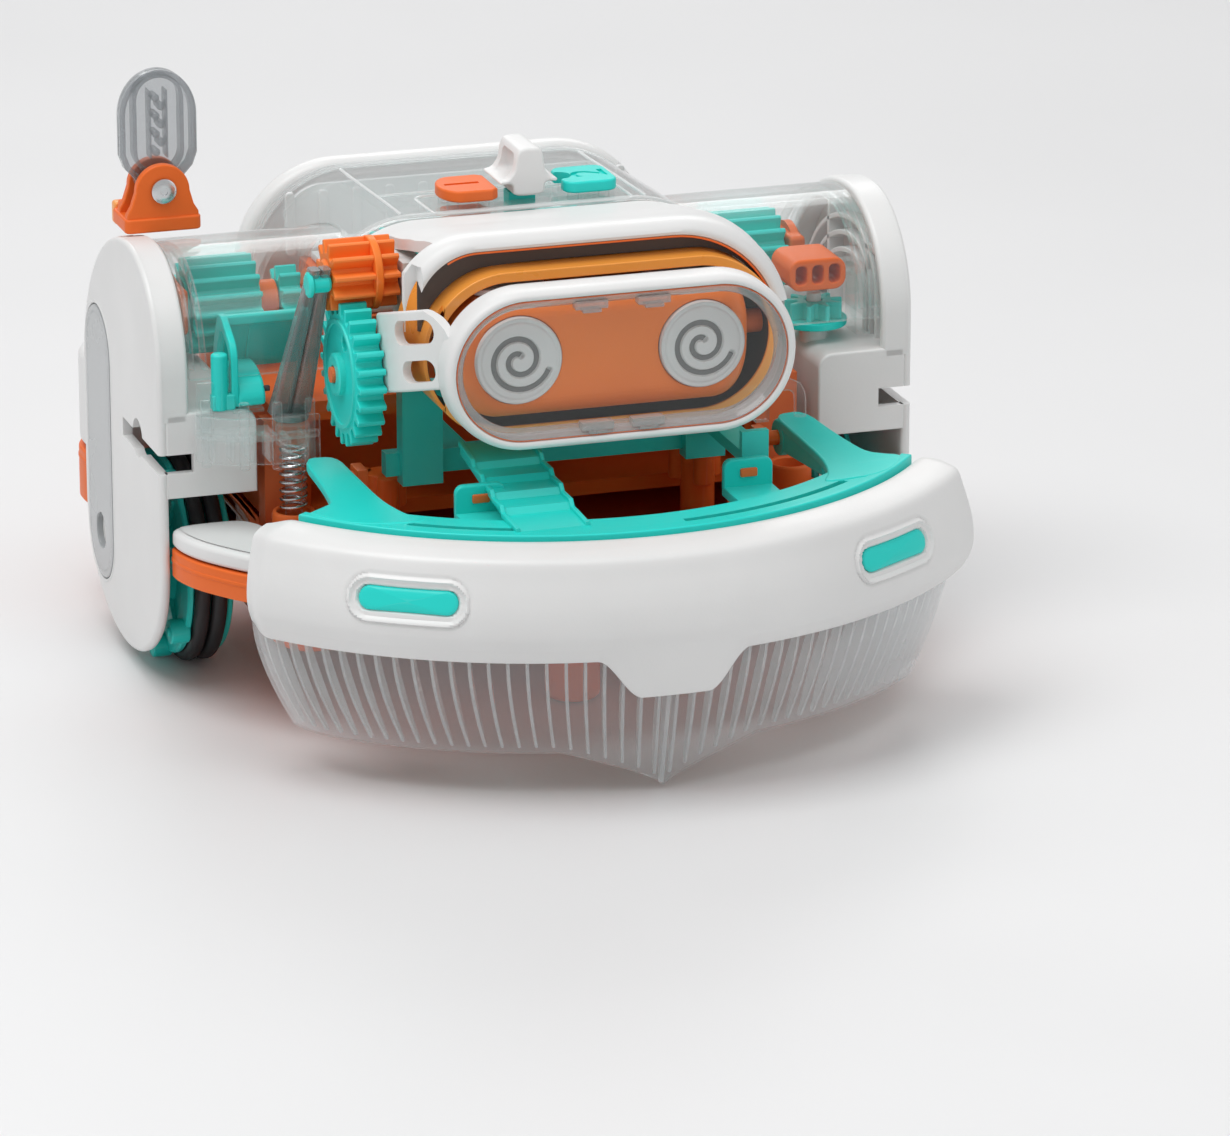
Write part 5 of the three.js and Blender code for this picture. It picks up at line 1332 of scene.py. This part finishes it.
def lever_block():
    parts = [
        block(-0.6, 6.6, -11.6, -6.4, 104, 119, 0.5), block(-3, 9, -13, -5, 100, 104.1, 0.5),
        block(0.4, 5.6, -12.0, -6.0, 108, 110, 0.3), block(0.4, 5.6, -12.0, -6.0, 113, 115, 0.3),
    ]
    place("lever_slider", joined(*parts), "teal", "mode_selector", ["lever_block"])


# ---------------------------------------------------------------- bumper
def bumper_edge(deg):
    """Height of the bumper's lower edge, which dips in the middle."""
    t = smooth_step(4.2, 9.8, abs(deg))
    return BUMPER_DIP + (BUMPER_EDGE - BUMPER_DIP) * t


BUMPER_FACE = [
    (103.9, BUMPER_TOP), (104.6, 64.64), (108.4, 64.1), (111.4, 63.2), (112.8, 62.4), (113.6, 61.1),
    (114.7, 58.0), (115.9, 54.6), (116.9, 51.0), (117.4, 47.5), (117.4, 44.2), (116.6, 41.0),
]
BUMPER_INSIDE = [(114.2, 41.6), (115.0, 48.0), (112.4, 56.0), (107.0, 60.2), (102.6, 61.4), (101.7, 62.0),
                 (101.6, 63.0), (102.0, 63.9), (102.9, 64.5)]


def bumper_point(deg, r, z):
    """Pulls the bumper's section in near its rounded ends and stands it at an angle."""
    end = smooth_step(-1.2, 4.5, BUMPER_ANGLE - abs(deg))
    r = 104 + (r - 104) * (0.55 + 0.45 * end)
    z = 50 + (z - 50) * (0.84 + 0.16 * end)
    a = math.radians(deg)
    return r * math.sin(a), BUMPER_Y - r * math.cos(a), z


def resampled(points, spacing):
    """Points along a smooth curve through the given ones, a fixed distance apart."""
    dense = []
    padded = [points[0], *points, points[-1]]
    for i in range(1, len(padded) - 2):
        p0, p1, p2, p3 = (Vector(padded[i + k]) for k in (-1, 0, 1, 2))
        for j in range(12):
            t = j / 12
            dense.append(0.5 * (2 * p1 + (p2 - p0) * t + (2 * p0 - 5 * p1 + 4 * p2 - p3) * t * t
                                + (3 * p1 - p0 - 3 * p2 + p3) * t * t * t))
    dense.append(Vector(points[-1]))
    length = sum((b - a).length for a, b in zip(dense, dense[1:]))
    count = max(2, round(length / spacing))
    step = length / count
    out, walked, target = [dense[0]], 0.0, step
    for a, b in zip(dense, dense[1:]):
        span = (b - a).length
        while span > 1e-9 and walked + span >= target - 1e-6 and len(out) < count:
            out.append(a.lerp(b, (target - walked) / span))
            target += step
        walked += span
    out.append(dense[-1])
    return [tuple(p) for p in out]


def pill_relief(deg, z):
    """How far the bumper's face stands out beside a light: a raised ring and a sunk seat."""
    along = math.radians(abs(deg) - PILL_ANGLE) * BUMPER_R
    away = math.hypot(max(0.0, abs(along) - 10.0), z - PILL_Z)
    ring = 0.5 * smooth_step(4.5, 4.8, away) * (1 - smooth_step(5.2, 5.6, away))
    ring -= 0.35 * smooth_step(5.3, 5.6, away) * (1 - smooth_step(5.8, 6.2, away))
    dish = -0.3 * smooth_step(3.0, 3.3, away) * (1 - smooth_step(4.2, 4.6, away))
    seat = -1.3 * (1 - smooth_step(2.95, 3.25, away))
    return ring + dish + seat


def bumper_shell():
    face = resampled(BUMPER_FACE, 0.5)
    columns = 470
    rings = []
    for i in range(columns + 1):
        deg = -BUMPER_ANGLE + 2 * BUMPER_ANGLE * i / columns
        low = bumper_edge(deg)
        section = [(r + pill_relief(deg, z), z) for r, z in face]
        fall = [(116.6 - 1.7 * t, 41.0 + (low + 0.6 - 41.0) * t) for t in (0.2, 0.4, 0.6, 0.8, 1.0)]
        lip = [(114.6, low + 0.15), (114.0, low), (113.2, low + 0.1), (112.8, low + 0.7)]
        rise = [(112.9 + 1.2 * t, low + 0.7 + (41.0 - low - 0.7) * t) for t in (0.3, 0.7)]
        rings.append([bumper_point(deg, r, z) for r, z in section + fall + lip + rise + BUMPER_INSIDE])
    place("bumper_face", loft(rings), "white", "bumper", ["bumper_shell"], 44)


def bumper_surface(deg, z, out):
    """A point over the bumper's face at a height, standing out from it."""
    radius = BUMPER_R
    for (r0, z0), (r1, z1) in zip(BUMPER_FACE[1:], BUMPER_FACE[2:]):
        if z1 <= z <= z0:
            radius = r0 + (r1 - r0) * (z - z0) / (z1 - z0)
            break
    return bumper_point(deg, radius + out, z)


def pills():
    """Teal lights: flat in the middle, rounded over at the edge and sunk into the bumper."""
    layers = ((0.02, -0.12), (0.35, -0.12), (0.7, -0.14), (0.88, -0.2), (0.96, -0.4), (1.0, -0.7),
              (1.0, -1.6))
    for s, name in SIDES[::-1]:
        rings = [[bumper_surface(s * PILL_ANGLE + math.degrees(along / BUMPER_R), PILL_Z + up, out)
                  for along, up in stadium(0, 0, 9.8 * min(1, k * 1.02), 2.85 * k, 20)]
                 for k, out in layers]
        place(f"pill_{name}_light", loft(rings), "teal", "bumper", [f"pill_{name}"], 60)


def skirt_low(deg):
    """Height of the skirt's lower edge, which dips to a tip in the middle."""
    a = abs(deg)
    if a < 15:
        return SKIRT_TIP + (SKIRT_BOTTOM - SKIRT_TIP) * (a / 15) ** 0.75
    return SKIRT_BOTTOM


def skirt_point(deg, r, z):
    """Draws the curtain in towards its rounded ends and stands it at an angle."""
    pull = 3.5 * (max(0.0, abs(deg) - 48) / 9) ** 2
    drop = max(0.0, 38 - z) / 27
    a = math.radians(deg * (1 - 0.07 * drop * drop))
    return (r - pull) * math.sin(a), BUMPER_Y - (r - pull) * math.cos(a), z


def bumper_skirt():
    """Clear curtain under the bumper, stiffened by upright ribs on its inside."""
    rings = []
    columns = 260
    for i in range(columns + 1):
        deg = -SKIRT_ANGLE + 2 * SKIRT_ANGLE * i / columns
        low = skirt_low(deg)
        heights = [40.6 + (low - 40.6) * k / 12 for k in range(12)]
        section = [(skirt_radius(z, low), z) for z in heights]
        section += [(skirt_radius(low, low) + 0.35, low + 1.1), (skirt_radius(low, low) + 0.25, low + 0.2)]
        back = [(r - 1.3, z) for r, z in section[::-1]]
        rings.append([skirt_point(deg, r, z) for r, z in section + back])
    place("skirt_curtain", loft(rings), "frost", "bumper", ["bumper_skirt"], 40)
    # The ribs are drawn in a pale clear whose whiteness is painted highlight.
    place("skirt_ribs", joined(*skirt_ribs()), "line", "bumper", [], 30)


def skirt_radius(z, low):
    """Radius of the curtain's outer face, which leans in towards its lower edge."""
    t = max(0.0, min(1.0, (37.0 - z) / max(1.0, 37.0 - low)))
    return 111.6 - 6.8 * t ** 1.25


def skirt_ribs():
    """Thin upright ribs, deepest half way down, and the keel at the tip."""
    parts = []
    count = 46
    for i in range(count):
        deg = -55 + 110 * i / (count - 1)
        low = skirt_low(deg) + 1.2
        rings = []
        for k in range(9):
            z = 39.6 + (low - 39.6) * k / 8
            r = skirt_radius(z, low) - 1.2
            deep = 2.6 * math.sin(math.pi * min(1, 0.12 + 0.8 * k / 8)) + 0.4
            corners = ((0, -0.42), (0, 0.42), (-deep, 0.3), (-deep, -0.3))
            rings.append([skirt_point(deg + math.degrees(side / r), r + dr, z) for dr, side in corners])
        parts.append(loft(rings))
    keel = [(-141.4, 38), (-139.6, 27), (-135.0, 9), (-133.2, 1.3), (-132.0, 1.3), (-134.2, 20),
            (-137.2, 38)]
    return parts + [slab("x", keel, -0.6, 0.6, edge=0.25)]


# ---------------------------------------------------------------- yoke
def yoke_arm():
    """Right arm of the yoke: a wide triangle from the bar back to its pivot eye."""
    plan = [(57.6, -49.6), (66.4, -48.4), (67.6, -72), (69.6, -88), (78, -92), (68, -105), (50, -108),
            (54.6, -100), (57, -88), (57.4, -66)]
    outline = softened_corners(plan, 2, 0.2)
    arm = slab("z", outline, YOKE_TOP - 2.4, YOKE_TOP + 0.15, edge=0.6, steps=3)
    rib = [(-86, 62.8), (-86, 60), (-56, 57.4), (-52, 57.4), (-52, 63), (-56, 64.6)]
    eye = [(2.1, 57.6), (4.4, 57.6), (4.7, 57.9), (4.7, 60.7), (4.4, 61.0), (2.1, 61.0)]
    return joined(arm, slab("x", rib, 57.8, 60.8, edge=0.4), turned("x", eye, PIVOT_Y, PIVOT_Z))


def yoke_clip(s):
    low, high = s * CLIP_X - 6.4, s * CLIP_X + 6.4
    tab = slab("y", rounded(low, high, YOKE_TOP - 5, 70, 2.2), -97, -95, edge=0.5, steps=3)
    return [tab, block(low, high, -113, -95.2, YOKE_TOP - 5, YOKE_TOP - 2.4, 0.4)]


def yoke_ramp():
    """Wide stepped band that climbs from the bumper towards the body."""
    top = [(-122, YOKE_TOP - 0.1), (-113, YOKE_TOP + 0.3)]
    for i in range(4):
        y = -110 + i * 8
        top += [(y, YOKE_TOP + 0.3 + i * 1.5), (y + 1.4, YOKE_TOP + 1.8 + i * 1.5)]
    top.append((-74, YOKE_TOP + 8))
    under = [(-74, YOKE_TOP + 5.4), (-122, YOKE_TOP - 2.4)]
    band = slab("x", top + under, -33, -15, edge=0.4)
    edge_strip = [(y, z + 0.9) for y, z in top] + [(y, z - 0.5) for y, z in reversed(top)]
    sides = [slab("x", edge_strip, x, x + 1.2, edge=0.3) for x in (-33.4, -15.8)]
    return [band, *sides]


def yoke():
    bar = slab("z", plan_arc(88, 99.5, -51.4, 51.4), YOKE_TOP - 2.6, YOKE_TOP - 0.15, edge=0.6, steps=3)
    for start, end in ((-36, -19), (5, 36)):
        bar = boolean(bar, slab("z", plan_arc(94.6, 96.6, start, end), 50, 70, edge=0.1, steps=1))
    lip = slab("z", plan_arc(98, 100.8, -52, 52), YOKE_TOP - 7, YOKE_TOP, edge=0.5, steps=3)
    arm = yoke_arm()
    parts = [bar, lip, arm, mirrored(arm), *yoke_clip(-1), *yoke_clip(1), *yoke_ramp()]
    place("yoke_frame", joined(*parts), "teal", "bumper", ["yoke"])


# ---------------------------------------------------------------- details inside the clear body
def latches():
    for s, name in SIDES[::-1]:
        catch = block(s * CLIP_X - 2.2, s * CLIP_X + 2.2, -97.8, -96.6, 65.4, 67.6, 0.4)
        place(f"latch_{name}_catch", catch, "orange", "bumper")


def inner_panel():
    """Grey back panel with upright ribs, and the deck in front of it, seen through the window."""
    panel = slab("y", rounded(-46, 46, 92, 111, 10), 38, 39.6, edge=0.5, steps=3)
    ribs = [slab("y", rounded(x, x + 2.4, 93, 110, 1.0), 37.2, 38.4, edge=0.3) for x in range(-46, 45, 9)]
    place("inner_panel_grey", joined(panel, *ribs), "disc", "chassis")
    deck = block(-40, 40, -18, 36, 92.2, 94.4, 0.6)
    bosses = [rod("z", 3.4, 94, 100, x, y, 0.5) for x, y in ((-30, -8), (30, -8), (-30, 26), (30, 26))]
    place("inner_deck", joined(deck, *bosses), "disc", "chassis")


def inner_gears():
    """Three small wheels and their pins, seen through the window."""
    spots = ((16, -20, 8, 0.1), (12, -0.2, 8, 0.25), (20, 22.4, 12, 0.2))
    wheels_in = [slab("z", gear_outline(teeth, x, y, phase), 100, 104, [circle(x, y, 2)], 0.3)
                 for teeth, x, y, phase in spots]
    place("inner_wheels", joined(*wheels_in), "teal", "chassis")
    pins = [rod("z", 2, 94, 106, x, y, 0.4) for _, x, y, _ in spots]
    place("inner_pins", joined(*pins), "orange", "chassis")


def pod_blocks():
    """Orange bearing blocks and cones beside the pods' gears."""
    cone = turned("x", [(3.2, 45.4), (6.8, 45.4), (6.8, 47.4), (3.2, 49.0)], POD_Y, POD_Z)
    shoe = block(81, 85.4, 4, 23, 84, 96, 1.2, 3)
    crown = turned("x", [(3.2, 82.6), (8.6, 82.6), (8.6, 84.6), (5.2, 86.8), (3.2, 86.8)], POD_Y, POD_Z)
    base = block(57.4, 60.6, 5, 22, 78, 86.2, 0.8)
    place_pair("pod_block_{}", joined(cone, shoe, crown, base), "orange", "")


def window_box():
    """Orange cage with three windows behind the right pod's front edge, held by a clear stem."""
    windows = [rounded(70.8 + 4.5 * i, 73.8 + 4.5 * i, 92.8, 97.6, 1.2) for i in range(3)]
    cage = slab("y", rounded(69, 84.4, 91, 99.4, 3.2), -29.4, -15, windows, 0.5, 3)
    place("window_cage", cage, "orange", "chassis", ["window_box"])
    stem = joined(block(88.6, 91.2, -26, -17, 77, 96, 0.4), block(84, 89, -22, -17, 93, 96, 0.4))
    place("window_stem", stem, "clear", "chassis")


def kept_nodes():
    """CAD nodes that need no finer shape."""
    for node_name, look in (("gearbox", "orange"), ("inner_frame", "teal"), ("bearing_block", "white"),
                            ("visor_shaft", "orange")):
        keep_node(node_name, look)


# ---------------------------------------------------------------- camera, light and floor
def camera():
    lens = bpy.data.cameras.new("camera")
    lens.sensor_width = 36.0
    lens.sensor_fit = "HORIZONTAL"
    lens.lens = 204.88
    lens.clip_start = 0.1
    lens.clip_end = 10.0
    owner = bpy.data.objects.new("camera", lens)
    right = Vector((0.9506, -0.3105, 0.0)).normalized()
    ahead = Vector((0.2950, 0.9031, -0.3122)).normalized()
    up = right.cross(ahead).normalized()
    turn = Matrix((right, up, -ahead)).transposed().to_4x4()
    owner.matrix_world = Matrix.Translation((-0.50942, -1.61645, 0.58406)) @ turn
    bpy.context.scene.collection.objects.link(owner)
    bpy.context.scene.camera = owner


def lamp(name, spot, aim, size, power):
    light = bpy.data.lights.new(name, "AREA")
    light.shape = "RECTANGLE"
    light.size, light.size_y = size
    light.energy = power
    owner = bpy.data.objects.new(name, light)
    turn = (Vector(aim) - Vector(spot)).to_track_quat("-Z", "Y").to_matrix().to_4x4()
    owner.matrix_world = Matrix.Translation(spot) @ turn
    bpy.context.scene.collection.objects.link(owner)


def studio():
    lamp("key", (-0.5, -0.1, 1.25), (0, 0, 0.05), (0.7, 0.9), 8.4)
    lamp("fill", (1.1, -0.9, 0.7), (0, 0, 0.06), (0.9, 0.9), 1.0)
    lamp("back", (0.3, 1.1, 0.8), (0, 0, 0.1), (1.2, 0.4), 4.0)
    lamp("over", (0.1, -0.5, 1.0), (0, -0.02, 0.05), (0.5, 0.4), 1.05)
    world = bpy.data.worlds.new("studio")
    world.use_nodes = True
    world.node_tree.nodes["Background"].inputs["Color"].default_value = (1, 1, 1, 1)
    world.node_tree.nodes["Background"].inputs["Strength"].default_value = 0.54
    bpy.context.scene.world = world


def floor():
    """A pale floor that curves up into a wall behind the robot."""
    material, tree = new_tree("floor")
    tone = blend_colours(tree, noise(tree, 3.0), (0.77, 0.77, 0.775), (0.80, 0.80, 0.805))
    gloss = spread(tree, noise(tree, 8.0), 0.42, 0.5)
    finished(material, tree, node(tree, "BsdfPrincipled", Base_Color=tone, Roughness=gloss))
    half_width, bend = 2.6, 0.9
    rows = [(-2.4, 0.0), (1.2, 0.0), *arc(1.2, bend, bend, bend, -82.5, 0, 11), (2.1, 2.4)]
    points = [(x, y, z) for y, z in rows for x in (-half_width, half_width)]
    faces = [(2 * i, 2 * i + 1, 2 * i + 3, 2 * i + 2) for i in range(len(rows) - 1)]
    mesh = to_mesh(points, faces)
    mesh.shade_smooth()
    mesh.materials.append(material)
    owner = bpy.data.objects.new("floor", mesh)
    bpy.context.scene.collection.objects.link(owner)


def render_look():
    """Plain colours, and enough bounces for light to pass through the clear layers."""
    scene = bpy.context.scene
    scene.view_settings.view_transform = "Standard"
    scene.cycles.transparent_max_bounces = 28
    scene.cycles.max_bounces = 12


# ---------------------------------------------------------------- assembly
def build():
    for make in (
        side_plates, side_insets, wheels, chassis_tray, fender_caps, rear_cover, body_hood, hood_recess,
        face_housing, top_window, window_lines, back_shell, visor_frame, visor_lens, face_drum, eye_discs,
        top_discs, visor_gear, double_gear, pod_gears, pod_tubes, hopper, pod_lever, lever_knob,
        spring_post, bracket_left, bracket_right, turntable, antenna_paddle, antenna_bracket, antenna_pin,
        mode_plates, mode_lever, lever_block, bumper_shell, pills, bumper_skirt, yoke, latches, inner_panel,
        inner_gears, pod_blocks, window_box, kept_nodes, camera, studio, floor, render_look,
    ):
        make()


build()
